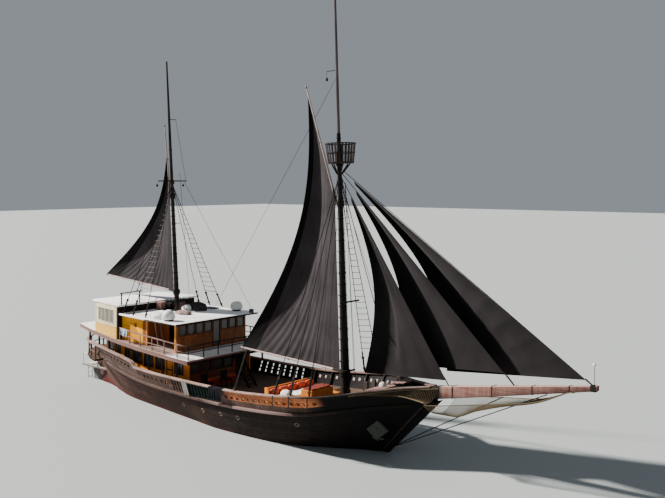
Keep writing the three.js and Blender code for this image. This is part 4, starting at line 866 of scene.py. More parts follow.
# Painted shade: the front and aft boards take a much darker copy of the same orange.
orange_across_painted_shade = finish("orange_varnish_across", (0.21, 0.062, 0.010), (0.12, 0.036, 0.008), gloss=0.3,
                      boards=(0.045, 1.3, 0.0016, 0.3), plane="ZY")
frame_wood = finish("window_frames", (0.055, 0.024, 0.012), (0.10, 0.045, 0.022), grain=(30, 30, 4))
LOWER_FRONT, DOOR_FACE = -0.35, 1.452
SIDE_WALL = [(LOWER_FRONT, 1.45), (-4.0, 1.45), (-5.75, 1.025)]
LOWER_WINDOWS = [(-0.65, -1.1), (-1.65, -2.15), (-2.3, -2.8), (-2.95, -3.45), (-3.65, -3.95), (-4.35, -4.85),
                 (-5.0, -5.45)]
BOAT_DECK = [(0.325, 2.065, 2.115), (-0.5, 2.075, 2.155), (-2.5, 2.015, 2.25), (-4.0, 1.86, 2.32),
             (-5.0, 1.7, 2.3675), (-6.2, 1.45, 2.425), (-7.3, 1.15, 2.475)]
side_wall = straight(SIDE_WALL, 1)
boat_half, boat_z = straight(BOAT_DECK, 1), straight(BOAT_DECK, 2)
floor_z = straight(SHEER, 4)


def rectangle(place, a0, a1, b0, b1):
    """Four corners on the surface place(a, b)."""
    return [place(a, b) for a, b in ((a0, b0), (a1, b0), (a1, b1), (a0, b1))]


def window(corners, out, frames, glazing, width=0.03, bars=1, depth=0.02, inset=0.02):
    """A window frame round four corners, with upright glazing bars and its pane."""
    a, b, c, d = (Vector(p) for p in corners)
    out = Vector(out).normalized()
    for start, end in ((a, b), (b, c), (c, d), (d, a)):
        run = (end - start).normalized() * width / 2
        frames.append(beam(start - run + out * depth / 2, end + run + out * depth / 2, width, depth, out))
    for i in range(1, bars + 1):
        t = i / (bars + 1)
        frames.append(beam(a.lerp(b, t) - out * inset * 0.5, d.lerp(c, t) - out * inset * 0.5, width * 0.6,
                           depth, out))
    low, high = a.lerp(b, 0.5) - out * inset, d.lerp(c, 0.5) - out * inset
    glazing.append(beam(low, high, (b - a).length, 0.006, out, 0))


frames, glazing = [], []
for side, _ in SIDES:
    for fore, aft in LOWER_WINDOWS:
        middle = (fore + aft) / 2
        low, high = floor_z(middle) + 0.425, boat_z(middle) - 0.06 - 0.125
        out = (side_wall(aft) - side_wall(fore), side * (fore - aft), 0)
        corners = rectangle(lambda x, z: (x, side * side_wall(x), z), aft, fore, low, high)
        window(corners, out, frames, glazing)
for y in (-1.35, -0.85, -0.325, 0.15):
    corners = rectangle(lambda across, z: (LOWER_FRONT, across, z), y, y + 0.425, 1.475, 1.925)
    window(corners, FORE, frames, glazing, bars=0)
for y in (0.735, 1.165):
    frames.append(beam((-0.345, y, 1.05), (-0.345, y, 1.94), 0.03, 0.02, FORE))
assembled("lower_window_frames", frames, frame_wood, "dark_wood")
assembled("lower_window_glass", glazing, glass, "black_iron")
for name, material in (("lower_side_port", orange), ("lower_side_starboard", orange),
                       ("lower_front", orange_across_painted_shade), ("lower_aft", orange_across_painted_shade)):
    recut(name, name + "_boards", material, "orange_varnish", 0.004, 1)
for side, label in SIDES:
    refinish(f"lower_door_{label}", orange)
    ledges = []
    y = side * DOOR_FACE
    for x0, z0, x1, z1 in ((-1.535, 1.10, -1.535, 1.88), (-1.225, 1.10, -1.225, 1.88),
                           (-1.56, 1.12, -1.2, 1.12), (-1.56, 1.50, -1.2, 1.50), (-1.56, 1.86, -1.2, 1.86)):
        ledges.append(beam((x0, y, z0), (x1, y, z1), 0.045, 0.008, PORT))
    ledges.append(spun("knob", [(0, 0), (0.008, 0), (0.008, 0.012), (0.014, 0.02), (0.01, 0.028), (0, 0.03)],
                       (-1.535, side * 1.455, 1.46), (-1.535, side * 2, 1.46), 12))
    assembled(f"door_ledges_{label}", ledges, frame_wood, "dark_wood", body=f"door_{label}")


# Boat deck: a broad painted planked deck over the house and side decks, on posts from the cap rail,
# edged by a pinkish fascia plank, with a two-bar railing round its open part.
def painted_top(tree, place, colour):
    """White paint on top with painted shade in pinkish brown along its middle run, bleached edges, and
    painted shade in dark brown below.
    """
    up = facing(tree, "Z")
    # Painted shade: the top's middle run is pinkish brown for the shaded walkways, and what faces down is
    # dark brown.
    aft = mixed(tree, along_ship(tree, place, -0.5, -1.0), colour, (0.24, 0.165, 0.14, 1))
    walkway_painted_shade = mixed(tree, along_ship(tree, place, -5.6, -5.9), aft, colour)
    sides = mixed(tree, ramp(tree, up, 0.5, 0.9), (0.20, 0.115, 0.10, 1), walkway_painted_shade)
    return mixed(tree, ramp(tree, up, -0.9, -0.5, 1.0, 0.0), sides, (0.12, 0.05, 0.02, 1))


deck_paint = finish("deck_paint", (0.80, 0.79, 0.76), (0.55, 0.53, 0.50), plane="XY", wear=0.6,
                    boards=(0.065, 2.2, 0.002, 0.1), tint=painted_top)
recut("boat_deck", "boat_deck_planks", deck_paint, "white_paint", 0.006)
for side, label in SIDES:
    name = f"side_frame_{label}"
    recut(name, f"side_posts_{label}", dark_wood, "dark_wood", 0.006, 1)
    moulding = []
    edge_xs = steps(0.32, -7.28, 24)
    for x0, x1 in zip(edge_xs, edge_xs[1:]):
        for drop in (0.115, 0.012):
            start, end = ((x, side * (boat_half(x) + 0.028), boat_z(x) - drop) for x in (x0, x1))
            moulding.append(beam(start, end, 0.02, 0.014, PORT, 0.002))
    assembled(f"fascia_moulding_{label}", moulding, rail_wood, "rail_wood")
# Painted shade: the railing's front run, which faces forward, is tinted near black.
railing_wood = finish("railing_timber", (0.16, 0.095, 0.082), (0.30, 0.20, 0.175), wear=0.9,
                      tint=toned((-0.2, 0.15, (0.022, 0.014, 0.012))))
recut("boat_deck_railing", "boat_deck_rails", railing_wood, "rail_wood", 0.006, 2)
fascia = [beam((0.332, y, 2.0), (0.332, -y * 0.05, 2.0), 0.10, 0.012, FORE) for y in (-1.95, 1.95)]
assembled("boat_deck_front_fascia", fascia, dark_wood, "dark_wood")


# Railing cover: a faded canvas cloth folded over the boat deck's top rail beside the porch, where it
# hangs by its own weight.
faded_canvas = finish("faded_canvas", (0.42, 0.50, 0.56), (0.28, 0.35, 0.42), grain=(140, 140, 140), wear=0.5)
COVER_AFT, COVER_WIDE, COVER_LONG = -3.62, 0.42, 0.50


def over_rail(u, v):
    """The cover's cloth, folded over the top rail."""
    x = COVER_AFT + COVER_WIDE * u
    place = Vector((x, -(boat_half(x) - 0.035), boat_z(x) + 0.475))
    fall = (v - 0.45) * 0.52
    reach = 0.022 + 0.02 * math.sin(11 * u + 3 * v) * min(abs(fall) * 6, 1)
    outside = -1 if fall > 0 else 1
    lap = min(abs(fall) / 0.03, 1)
    return place + Vector((0.012 * math.sin(9 * v + 2 * u), outside * lap * reach, -max(abs(fall) - 0.02, 0)))


cover = grid("railing_cloth", 30, 40, over_rail)
applied(cover, "SOLIDIFY", thickness=0.003, offset=1)
settle(cover, faded_canvas, "white_fabric", smooth=80)


# Upper front house: orange boards across the front under a row of eight windows, yellow boards at the
# sides, and an open porch at each front corner behind a square post.
# Painted shade: aft of the porch post the side boards turn dark orange for the shade inside the porch.
side_boards = finish("house_side_boards", (0.93, 0.42, 0.02), (0.74, 0.30, 0.015),
                     boards=(0.035, 2.4, 0.0014, 0.15), tint=toned((-2.68, -2.67, (0.24, 0.070, 0.016))))
# The front boards take the darker orange copy, painted shade.
recut("wheelhouse_front", "wheelhouse_front_boards", orange_across_painted_shade, "orange_varnish", 0.004, 1)
for side, label in SIDES:
    name = f"wheelhouse_side_{label}"
    recut(name, name + "_boards", side_boards, "yellow_paint", 0.004, 1)
frames, glazing, posts = [], [], []
UPPER_FRONT, FRONT_PANES, PANE_PITCH, POST_Y = -0.775, 8, 0.3875, 1.60
front_foot = boat_z(-0.815) + 0.0003
for i in range(FRONT_PANES):
    y = -1.55 + i * PANE_PITCH
    sill = front_foot + (0.065 if i == 4 else 0.575)
    low, high, head = y + 0.03, y + 0.3575, front_foot + 0.925
    corners = rectangle(lambda across, z: (UPPER_FRONT, across, z), low, high, sill, head)
    window(corners, FORE, frames, glazing, width=0.026, bars=0, depth=0.014)
    if i < 2:
        for corner, turn in ((low, 1), (high, -1)):
            frames.append(beam((-0.772, corner, sill + 0.07), (-0.772, corner + turn * 0.06, sill + 0.004),
                               0.04, 0.012, FORE))
for side, _ in SIDES:
    for y, x0, x1, z0, z1, size in ((0.95, -1.35, -1.0, 2.66, 3.01, {}),
                                    (1.625, -3.15, -3.04, 2.853, 2.963, {"width": 0.02, "depth": 0.01})):
        corners = rectangle(lambda x, z: (x, side * y, z), x0, x1, z0, z1)
        window(corners, (0, side, 0), frames, glazing, bars=0, **size)
    for x0, x1, half, head in ((-0.90, -0.83, 0.035, 3.17), (-2.49, -2.43, 0.03, 3.19)):
        posts.append(block((x0, side * POST_Y - half, boat_z(x0) + 0.002), (x1, side * POST_Y + half, head),
                           0.006))
assembled("wheelhouse_window_frames", frames, frame_wood, "dark_wood")
assembled("wheelhouse_glass", glazing, glass, "black_iron")
bright_post = finish("orange_posts", (0.80, 0.32, 0.035), (0.58, 0.21, 0.03), grain=(30, 30, 4), gloss=0.3)
assembled("porch_posts", posts, bright_post, "orange_varnish")
ladder = []
LADDER_FOOT, LADDER_HEAD, LADDER_Z = -1.98, -2.2, 3.15
for y in (-1.47, -1.25):
    ladder.append(beam((LADDER_FOOT, y, boat_z(-2) + 0.003), (LADDER_HEAD, y, LADDER_Z), 0.022, 0.05, FORE))
for t in steps(0.12, 0.9, 6):
    foot = Vector((LADDER_FOOT, -1.47, 2.24)).lerp(Vector((LADDER_HEAD, -1.47, LADDER_Z)), t)
    ladder.append(beam(foot, foot + Vector((0, 0.22, 0)), 0.05, 0.014, UP))
assembled("porch_ladder", ladder, rail_wood, "rail_wood")


# Roof of the front house: white painted canvas over thin boards, a dark plank along its front edge,
# and gear lashed down on top: domes, lockers, tarpaulins and a spare panel.
roof_paint = finish("roof_paint", (0.93, 0.93, 0.92), (0.78, 0.77, 0.75), plane="XY", wear=0.6,
                    boards=(0.3, 1.9, 0.002, 0.04), bump=0.2)
recut("wheelhouse_roof", "wheelhouse_roof_canvas", roof_paint, "white_paint", 0.02, 3)
WHEEL_ROOF = [(-0.45, 3.235), (-2.25, 3.26), (-3.855, 3.27)]
roof_z = straight(WHEEL_ROOF, 1)
edge_boards = [beam((-0.444, -1.93, 3.195), (-0.444, 1.93, 3.195), 0.05, 0.014, FORE)]
for side, _ in SIDES:
    edge_boards.append(beam((-0.46, side * 1.935, 3.192), (-2.2, side * 1.925, 3.222), 0.035, 0.01, PORT))
assembled("wheelhouse_roof_edge", edge_boards, dark_wood, "dark_wood")
for side, label in SIDES:
    foot = (-1.25, side * 1.6, 3.2485)
    profile = [(0, 0.05), (0.20, 0.052), (0.222, 0.065), (0.228, 0.10)] + [
        (0.23 * math.cos(a), 0.14 + 0.24 * math.sin(a)) for a in steps(0, math.pi / 2, 12)]
    profile[-1] = (0, 0.38)
    settle(spun(f"dome_shell_{label}", profile, foot, (foot[0], foot[1], 9), 32), white_enamel, "white_paint",
           stands_for=[f"dome_{label}"], smooth=50)
    settle(spun(f"dome_base_{label}",
                [(0, 0), (0.15, 0), (0.15, 0.012), (0.185, 0.04), (0.185, 0.052), (0, 0.052)], foot,
                (foot[0], foot[1], 9), 24), iron, "black_iron")
lockers = []
base = roof_z(-3.7)
BOX = 0.27, 0.28
for x, y, tall in ((-3.675, -0.25, 0.28), (-3.4, -0.03, 0.25), (-3.14, 0.21, 0.35)):
    lockers.append(block((x, y, base + 0.026), (x + BOX[0], y + BOX[1], base + tall - 0.02)))
    lockers.append(block((x - 0.008, y - 0.008, base + tall - 0.022), (x + 0.278, y + 0.288, base + tall),
                         0.006))
    for t in (0.25, 0.75):
        batten = x + BOX[0] * t
        lockers.append(block((batten - 0.012, y - 0.007, base + 0.03),
                             (batten + 0.012, y, base + tall - 0.03)))
pink_wood = finish("pink_lockers", (0.22, 0.115, 0.10), (0.34, 0.22, 0.19), wear=0.7,
                   boards=(0.07, 1.1, 0.002, 0.25))
assembled("roof_locker_boxes", lockers[:4], pink_wood, "rail_wood", stands_for=["roof_lockers"])
assembled("roof_locker_dark", lockers[4:8], dark_wood, "dark_wood")
assembled("roof_locker_fore", lockers[8:], pink_wood, "rail_wood")
settle(block((-3.7, -0.28, base + 0.001), (-2.85, 0.525, base + 0.027)), dark_wood,
       "dark_wood").name = "locker_base"
grey_panel = finish("grey_panel", (0.05, 0.055, 0.07), (0.10, 0.11, 0.13), grain=(6, 6, 6))
gear = [block((-0.57, 1.58, roof_z(-0.5)), (-0.43, 1.72, 3.37), 0.012),
        block((-2.62, 1.2, 3.262), (-2.1, 1.5, 3.30), 0.006),
        beam((-2.62, 1.2, 3.28), (-2.62, 1.5, 3.28), 0.04, 0.02, UP)]
assembled("roof_gear", gear, grey_panel, "black_iron")
tarpaulin = finish("dark_tarpaulin", (0.028, 0.024, 0.027), (0.060, 0.052, 0.058), grain=(120, 120, 120),
                   bump=0.6)
white_cloth = finish("white_canvas", (0.80, 0.78, 0.74), (0.62, 0.59, 0.54), grain=(140, 140, 140), wear=0.5)
pink_cloth = finish("dusty_canvas", (0.25, 0.16, 0.15), (0.40, 0.30, 0.28), grain=(140, 140, 140), wear=0.6)


def heap(name, centre, size, material, seed, points):
    """A slack bag or a tarpaulin over gear: a crowned closed form that sags in folds."""
    deselect()
    bpy.ops.mesh.primitive_ico_sphere_add(subdivisions=5, radius=1)
    piece = bpy.context.object
    piece.name = name
    for vertex in piece.data.vertices:
        x, y, z = vertex.co
        angle = math.atan2(y, x)
        fold = 1 + 0.07 * math.sin(points * angle + seed) * (1 - abs(z)) + 0.04 * math.sin(13 * angle + 5 * z)
        flat = max(z, -0.35)
        bulge = 0.05 * math.sin(5 * x + seed) * math.cos(6 * y)
        vertex.co = (centre[0] + size[0] * x * fold, centre[1] + size[1] * y * fold,
                     centre[2] + size[2] * (flat + 0.35 + bulge * (z > -0.3)) / 1.35)
    settle(piece, material, "white_fabric", smooth=60)


for name, centre, size, material, seed, points in (
        ("tarpaulin_heap", (-2.42, 0.72, 3.262), (0.42, 0.30, 0.30), tarpaulin, 1, 5),
        ("tarpaulin_low", (-2.85, 0.95, 3.266), (0.22, 0.28, 0.22), tarpaulin, 2, 4),
        ("white_sack", (-2.62, 0.36, 3.264), (0.20, 0.17, 0.22), white_cloth, 3, 3),
        ("roof_bundle", (-1.93, -1.56, 3.256), (0.33, 0.19, 0.20), white_cloth, 7, 4),
        ("dusty_sacks", (-2.05, -0.30, 3.258), (0.36, 0.22, 0.13), pink_cloth, 4, 6)):
    heap(name, centre, size, material, seed, points)


# Aft cabin: cream boards round four windows a side, yellow below, under its own flat white roof, with
# a near-black strip across the front above the lower roof, partly dark tinted glazing and partly painted
# shade.
def cabin_tones(tree, place, colour):
    low = ramp(tree, part_of(tree, place, "Z"), 2.765, 2.755)
    return mixed(tree, low, colour, mixed(tree, 1.0, colour, (1.06, 0.72, 0.24, 1), "MULTIPLY"))


cream = finish("cream_boards", (0.80, 0.70, 0.50), (0.60, 0.49, 0.32), boards=(0.035, 2.4, 0.0014, 0.12),
               tint=cabin_tones)
CABIN_PANES = [(-4.42 - 0.335 * i, -4.42 - 0.335 * i + 0.25) for i in range(4)]
SILL, HEAD, CABIN_TOP, BELT = 2.87, 3.36, 3.5185, 2.765


def panel(name, xs, zs, place, holes, thick):
    """A wall through columns xs and rows zs, with the cells of its holes left out."""
    columns, rows = len(xs) - 1, len(zs) - 1
    wall = grid(name, columns, rows, lambda u, v: Vector((u * columns, 0, v * rows)))
    cells = []
    for face in wall.data.polygons:
        i, j = int(face.center.x), int(face.center.z)
        x, z = (xs[i] + xs[i + 1]) / 2, (zs[j] + zs[j + 1]) / 2
        cells.append(any(x0 < x < x1 and z0 < z < z1 for x0, x1, z0, z1 in holes))
    for vertex in wall.data.vertices:
        vertex.co = place(xs[round(vertex.co.x)], zs[round(vertex.co.z)])
    edited(wall, lambda: bpy.ops.mesh.select_all(action="DESELECT"))
    for face, cell in zip(wall.data.polygons, cells):
        face.select = cell
    focus(wall)
    bpy.ops.object.mode_set(mode="EDIT")
    bpy.ops.mesh.delete(type="FACE")
    bpy.ops.object.mode_set(mode="OBJECT")
    applied(wall, "SOLIDIFY", thickness=thick, offset=0)
    return edited(wall, outwards)


frames, glazing = [], []
for side, label in SIDES:
    xs = sorted({-5.725, -5.0, -4.0, -3.95} | {edge for pane in CABIN_PANES for edge in pane})

    def at_side(x, z):
        return Vector((x, side * (boat_half(x) - 0.015 - 0.02), boat_z(x) + 0.001 if z < 2.4 else z))

    wall = panel(f"cabin_side_panel_{label}", xs, [2.3, 2.76, SILL, HEAD, CABIN_TOP], at_side,
                 [(*pane, SILL, HEAD) for pane in CABIN_PANES], 0.036)
    settle(wall, cream, "cream_paint", stands_for=[f"cabin_side_{label}"])
    for aft, fore in CABIN_PANES:
        corners = rectangle(lambda x, z: (x, side * (boat_half(x) - 0.017), z), aft, fore, SILL, HEAD)
        window(corners, (0, side, 0), frames, glazing, width=0.024, bars=0, depth=0.012)
    belt = [(x, side * (boat_half(x) - 0.008), BELT) for x in (-5.725, -5.0, -4.0, -3.93)]
    for start, end in zip(belt, belt[1:]):
        frames.append(beam(start, end, 0.03, 0.012, PORT))
assembled("cabin_window_frames", frames, cream, "cream_paint")
pale_glass = finish("pale_glass", (0.085, 0.10, 0.088), (0.13, 0.145, 0.125), grain=(3, 3, 3), bump=0.05,
                    gloss=1.0, shine=0.5)
assembled("cabin_glass", glazing, pale_glass, "black_iron")
recut("cabin_aft", "cabin_aft_boards", cream, "cream_paint", 0.004, 1)
# Painted shade: the forward-facing front wall is near black timber, partly for tinted glass and partly for
# its shade.
refinish("cabin_front", dark_wood)
mullions = [beam((-3.897, y, 3.30), (-3.897, y, 3.50), 0.03, 0.02, FORE) for y in steps(-1.5, 1.5, 7)]
assembled("cabin_front_mullions", mullions, frame_wood, "dark_wood")
recut("cabin_roof", "cabin_roof_canvas", roof_paint, "white_paint", 0.018, 3)


# Masts: round spars of dark oiled hardwood, the main one in two lengths, with iron hoops, a cleat or
# two, and wooden cross bars.
def hoop(inner, outer, crown, half, middle, run, around):
    """A band round a spar, a little crowned outside."""
    profile = [(inner, -half), (outer, -half), (crown, 0), (outer, half), (inner, half), (inner, -half)]
    return spun("hoop", profile, middle, middle + run, around)


def along_line(foot, head, reach):
    """The point at a given reach along the line from foot to head, and the line's direction."""
    run = (Vector(head) - Vector(foot)).normalized()
    return Vector(foot) + run * reach, run


MAIN_FOOT, MAIN_HEAD = Vector((5.435, 0, 1.25)), Vector((5.145, 0, 9.6))
MIZZEN_FOOT, MIZZEN_TOP = Vector((-2.595, 0, 1.08)), Vector((-3.37, 0, 12.6))
MAIN_LENGTH, MIZZEN_LENGTH = (MAIN_HEAD - MAIN_FOOT).length, (MIZZEN_TOP - MIZZEN_FOOT).length


def main_radius(reach):
    return 0.1425 - 0.08 * reach / MAIN_LENGTH


def mizzen_radius(reach):
    return 0.1125 - 0.0825 * reach / MIZZEN_LENGTH


def main_at(reach):
    return along_line(MAIN_FOOT, MAIN_HEAD, reach)[0]


def mizzen_at(reach):
    return along_line(MIZZEN_FOOT, MIZZEN_TOP, reach)[0]


def mast(name, foot, head, radius, shoulders, length, source, material):
    """A mast turned in one piece, with the shoulders that its spars' rings rest on."""
    profile = [(0, 0), (radius(0), 0)]
    for height in shoulders:
        slim, wide = radius(height), radius(height) + 0.035
        profile += [(slim, height - 0.082), (wide - 0.006, height - 0.078), (wide, height - 0.07),
                    (wide, height - 0.006), (wide - 0.006, height - 0.0005), (slim, height - 0.0005)]
    profile += [(radius(length), length), (0, length)]
    settle(spun(name, profile, foot, head, 32), material, "dark_wood", stands_for=[source])


mast("main_lower_mast_turned", MAIN_FOOT, MAIN_HEAD, main_radius, (0.86, 6.125, 7.4), MAIN_LENGTH,
     "main_lower_mast", dark_wood)
mizzen_tone = finish("mizzen_timber", (0.014, 0.011, 0.010), (0.055, 0.043, 0.04), grain=(40, 40, 3))
mast("mizzen_mast_turned", MIZZEN_FOOT, MIZZEN_TOP, mizzen_radius, (2.875, 6.45, 7.0), MIZZEN_LENGTH,
     "mizzen_mast", mizzen_tone)
topmast_wood = finish("grey_topmast", (0.060, 0.052, 0.055), (0.12, 0.105, 0.108), grain=(40, 40, 3))
top_foot, top_head = Vector((5.145, 0, 9.6005)), Vector((4.9625, 0, 14.85))
settle(ropes("main_topmast_turned", [[(*top_foot, 0.054), (*top_foot.lerp(top_head, 0.5), 0.045),
                                      (*top_head, 0.032)]], 1.0, 5), topmast_wood, "spar_wood",
       stands_for=["main_topmast"])
hoops, bars, lamps = [], [], []
for foot, head, radius, heights in ((MAIN_FOOT, MAIN_HEAD, main_radius, (0.45, 2.2, 4.0, 5.2, 8.2)),
                                    (MIZZEN_FOOT, MIZZEN_TOP, mizzen_radius, (2.45, 4.0, 5.4, 8.2))):
    for reach in heights:
        middle, run = along_line(foot, head, reach)
        r = radius(reach)
        hoops.append(spun("hoop",
                          [(r - 0.01, -0.02), (r + 0.006, -0.02), (r + 0.009, -0.016), (r + 0.009, 0.016),
                           (r + 0.006, 0.02), (r - 0.01, 0.02), (r - 0.01, -0.02)], middle, middle + run, 24))
for reach, near, far in ((3.08, -0.30, 0.62), (0.95, -0.30, 0.30)):
    middle = main_at(reach)
    x = middle.x + main_radius(reach) + 0.028
    bars.append(beam((x, near, middle.z), (x, far, middle.z), 0.05, 0.045, FORE, 0.006))
for reach, near, far in ((9.35, -0.05, 0.30), (5.45, -0.12, 0.25)):
    middle = mizzen_at(reach)
    x = middle.x + mizzen_radius(reach) + 0.012
    bars.append(beam((x, near, middle.z), (x, far, middle.z), 0.022, 0.02, FORE, 0.003))
pinrail = mizzen_at(2.55)
for dx in (-0.16, 0.16):
    bars.append(beam((pinrail.x + dx, -0.40, pinrail.z), (pinrail.x + dx, 0.52, pinrail.z), 0.06, 0.05, FORE,
                     0.006))
    for y in (-0.3, -0.15, 0.15, 0.3, 0.45):
        bars.append(spun("pin", [(0, -0.09), (0.009, -0.09), (0.009, 0.03), (0.016, 0.04), (0.013, 0.09),
                                 (0, 0.1)], (pinrail.x + dx, y, pinrail.z), (pinrail.x + dx, y, 9), 10))
LAMP_X, LAMP_Z = -3.09, 8.00 - 0.11
for y in (-0.66, 0.56):
    lamps.append(spun("lamp", [(0, 0), (0.03, 0), (0.045, 0.03), (0.03, 0.08), (0.008, 0.09), (0.008, 0.14),
                               (0, 0.14)], (LAMP_X, y, LAMP_Z), (LAMP_X, y, 20), 12))
arm, _ = along_line(top_foot, top_head, 1.98)


def under_arm(fall):
    """A point on the plumb line from the topmast's lamp arm."""
    return arm.x - 0.33, -0.10, arm.z - fall


bars.append(beam((arm.x - 0.03, 0, arm.z), under_arm(0.02), 0.02, 0.02, UP, 0.003))
lamps.append(spun("lamp", [(0, 0), (0.03, 0), (0.04, 0.05), (0.03, 0.10), (0, 0.12)], under_arm(0.33),
                  (arm.x - 0.33, -0.10, 30), 12))
bars.append(ropes("lamp_line", [[under_arm(0.02), under_arm(0.22)]], 0.005))
assembled("mast_hoops", hoops, iron, "black_iron")
assembled("mast_bars", bars, dark_wood, "dark_wood")
assembled("mast_lamps", lamps, iron, "black_iron")
refinish("mizzen_crosstree", dark_wood)


# Crow's nest: a flared tub of upright staves with gaps between them, held by three hoops, on a round
# floor that rests on the mast's shoulder.
nest_wood = finish("nest_staves", (0.014, 0.010, 0.009), (0.055, 0.042, 0.036), grain=(40, 40, 4), wear=0.8)
nest_pale = finish("nest_pale_staves", (0.075, 0.058, 0.048), (0.15, 0.12, 0.10), grain=(40, 40, 4))
_, mast_up = along_line(MAIN_FOOT, MAIN_HEAD, 0)
seat = main_at(7.4003)
nest_forward = Vector((mast_up.z, 0, -mast_up.x)) * 0.065
nest_foot = seat + nest_forward
FLOOR_RADIUS, RIM_RADIUS, NEST_TALL, STAVES = 0.41, 0.49, 0.64, 26
hole = main_radius(7.4) + 0.006
floor_disc = spun("nest_floor", [(0, 0.0), (FLOOR_RADIUS - 0.004, 0.0), (FLOOR_RADIUS, 0.006),
                                 (FLOOR_RADIUS, 0.026), (0, 0.026)], nest_foot, nest_foot + mast_up, 32)
cutter = spun("cutter", [(0, -0.2), (hole, -0.2), (hole, 0.2), (0, 0.2)], seat, seat + mast_up, 24)
applied(floor_disc, "BOOLEAN", operation="DIFFERENCE", object=cutter, solver="EXACT")
bpy.data.objects.remove(cutter)
nest_side = mast_up.cross(nest_forward).normalized()
ahead = nest_side.cross(mast_up).normalized()
staves, pale_staves = [], []
for i in range(STAVES):
    angle = 2 * math.pi * i / STAVES
    out = ahead * math.cos(angle) + nest_side * math.sin(angle)
    foot = nest_foot + out * (FLOOR_RADIUS - 0.010) + mast_up * 0.012
    head = nest_foot + out * (RIM_RADIUS - 0.016) + mast_up * (NEST_TALL - 0.02)
    (pale_staves if i % 5 == 1 else staves).append(beam(foot, head, 0.058, 0.012, out, 0.002))
for reach, r, tall in ((0.03, FLOOR_RADIUS + 0.004, 0.03), (0.33, 0.454, 0.026),
                       (0.62, RIM_RADIUS - 0.002, 0.036)):
    middle = nest_foot + mast_up * reach
    staves.append(hoop(r - 0.022, r + 0.001, r + 0.004, tall / 2, middle, mast_up, 36))
assembled("crow_nest_tub", [floor_disc, *staves], nest_wood, "dark_wood", stands_for=["crow_nest"])
assembled("crow_nest_pale_staves", pale_staves, nest_pale, "spar_wood")
knees = []
for angle in steps(0.4, 2 * math.pi + 0.4, 6)[:-1]:
    out = ahead * math.cos(angle) + nest_side * math.sin(angle)
    low, high = seat - mast_up * 0.33 + out * (hole + 0.004), nest_foot - mast_up * 0.014 + out * 0.30
    knees.append(beam(low, high, 0.03, 0.04, nest_side if abs(out.dot(nest_side)) < 0.5 else ahead, 0.004))
assembled("crow_nest_knees", knees, dark_wood, "dark_wood")


# Booms and gaffs: light scraped spars, each with a wooden ring that turns round the mast, a line of
# lashings where the sail is bent on, and an iron cap at its free end.
def ringed(tree, place, colour):
    """The rings and the jaws round the masts are black, the rest is scraped bare."""
    main = along_ship(tree, place, 4.90, 4.95)
    aft = maths(tree, "MULTIPLY", along_ship(tree, place, -3.25, -3.20), along_ship(tree, place, 0, -0.5))
    dark = maths(tree, "MAXIMUM", main, aft)
    return mixed(tree, dark, colour, (0.016, 0.012, 0.011, 1))


spar_wood = finish("scraped_spar", (0.28, 0.20, 0.185), (0.46, 0.37, 0.345), grain=(6, 50, 6), tint=ringed)
SPARS = [
    ("main_boom", "main_boom", (5.27, 0, 2.135), (0.7, 0, 2.35), (0.0425, 0.03)),
    ("main_gaff", "main_boom", (5.02, 0, 7.43), (3.74, 0, 11.225), (0.04, 0.02)),
    ("mizzen_boom", "mizzen_boom", (-2.94, 0, 3.98), (-7.25, 0, 4.335), (0.035, 0.025)),
    ("mizzen_gaff", "mizzen_boom", (-3.10, 0, 7.55), (-3.495, 0, 10.25), (0.0275, 0.0175)),
]
for name, body, start, end, radii in SPARS:
    recut(name, name + "_spar", spar_wood, "spar_wood", 0.004, 2, 50, body=body, smooth=50)
    start, end = Vector(start), Vector(end)
    run = (end - start).normalized()
    parts = []
    for t in (0.5, 0.97):
        r = radii[0] + (radii[1] - radii[0]) * t
        middle = start.lerp(end, t)
        parts.append(hoop(r - 0.004, r + 0.004, r + 0.006, 0.02, middle, run, 16))
    assembled(name + "_irons", parts, iron, "black_iron", body=body)


# Sails: charcoal cotton canvas, sewn from narrow cloths with a roped edge all round, and worn thin by
# the sun. The wind fills them to port; a band along each leech is painted near black as shadow, and the
# headsails' cloth is painted darker as shade.
def canvas(name, shadow_edge, shade):
    """Sewn cloths with their seams, faded patches, and a painted shadow in near black outside a bowed line.
    """
    material, tree, shader, place = blank(name)
    flat = node(tree, "SeparateXYZ", {0: node(tree, "UVMap").outputs[0]})
    weave = noise(tree, place, 160.0, 2.0)
    fade = noise(tree, place, 0.9, 5.0, Roughness=0.6)
    cloths = maths(tree, "FRACT", maths(tree, "MULTIPLY", flat.outputs["X"], 11.0))
    seam = ramp(tree, cloths, 0.0, 0.04, 1.0, 0.0)
    dull, faded = (tuple(shade * c for c in tone) for tone in ((0.027, 0.0225, 0.0250),
                                                               (0.052, 0.044, 0.0485)))
    cloth = mixed(tree, ramp(tree, fade, 0.35, 0.7), (*dull, 1), (*faded, 1))
    sewn = mixed(tree, seam, cloth, (0.014, 0.012, 0.013, 1))
    swell = maths(tree, "SINE", maths(tree, "MULTIPLY", flat.outputs["Y"], math.pi))
    border = maths(tree, "MULTIPLY_ADD", swell, -0.07, flat.outputs["X"])
    # Painted shadow: past the bowed line by the leech the cloth is near black.
    leech_painted_shadow = mixed(tree, ramp(tree, border, shadow_edge, shadow_edge + 0.006), sewn, (0.006, 0.005, 0.0055, 1))
    surfaced(tree, shader, maths(tree, "MULTIPLY_ADD", seam, 1.5, weave), 0.35, 0.002, {
        "Base Color": leech_painted_shadow, "Roughness": 0.92, "Specular IOR Level": 0.05, "Sheen Weight": 0.03,
        "Sheen Roughness": 0.5})
    return material


def corner(name, near):
    """The corner of a CAD sail that lies nearest to a given point."""
    best = min(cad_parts[name].data.vertices, key=lambda vertex: (vertex.co - Vector(near)).length)
    return Vector(best.co)


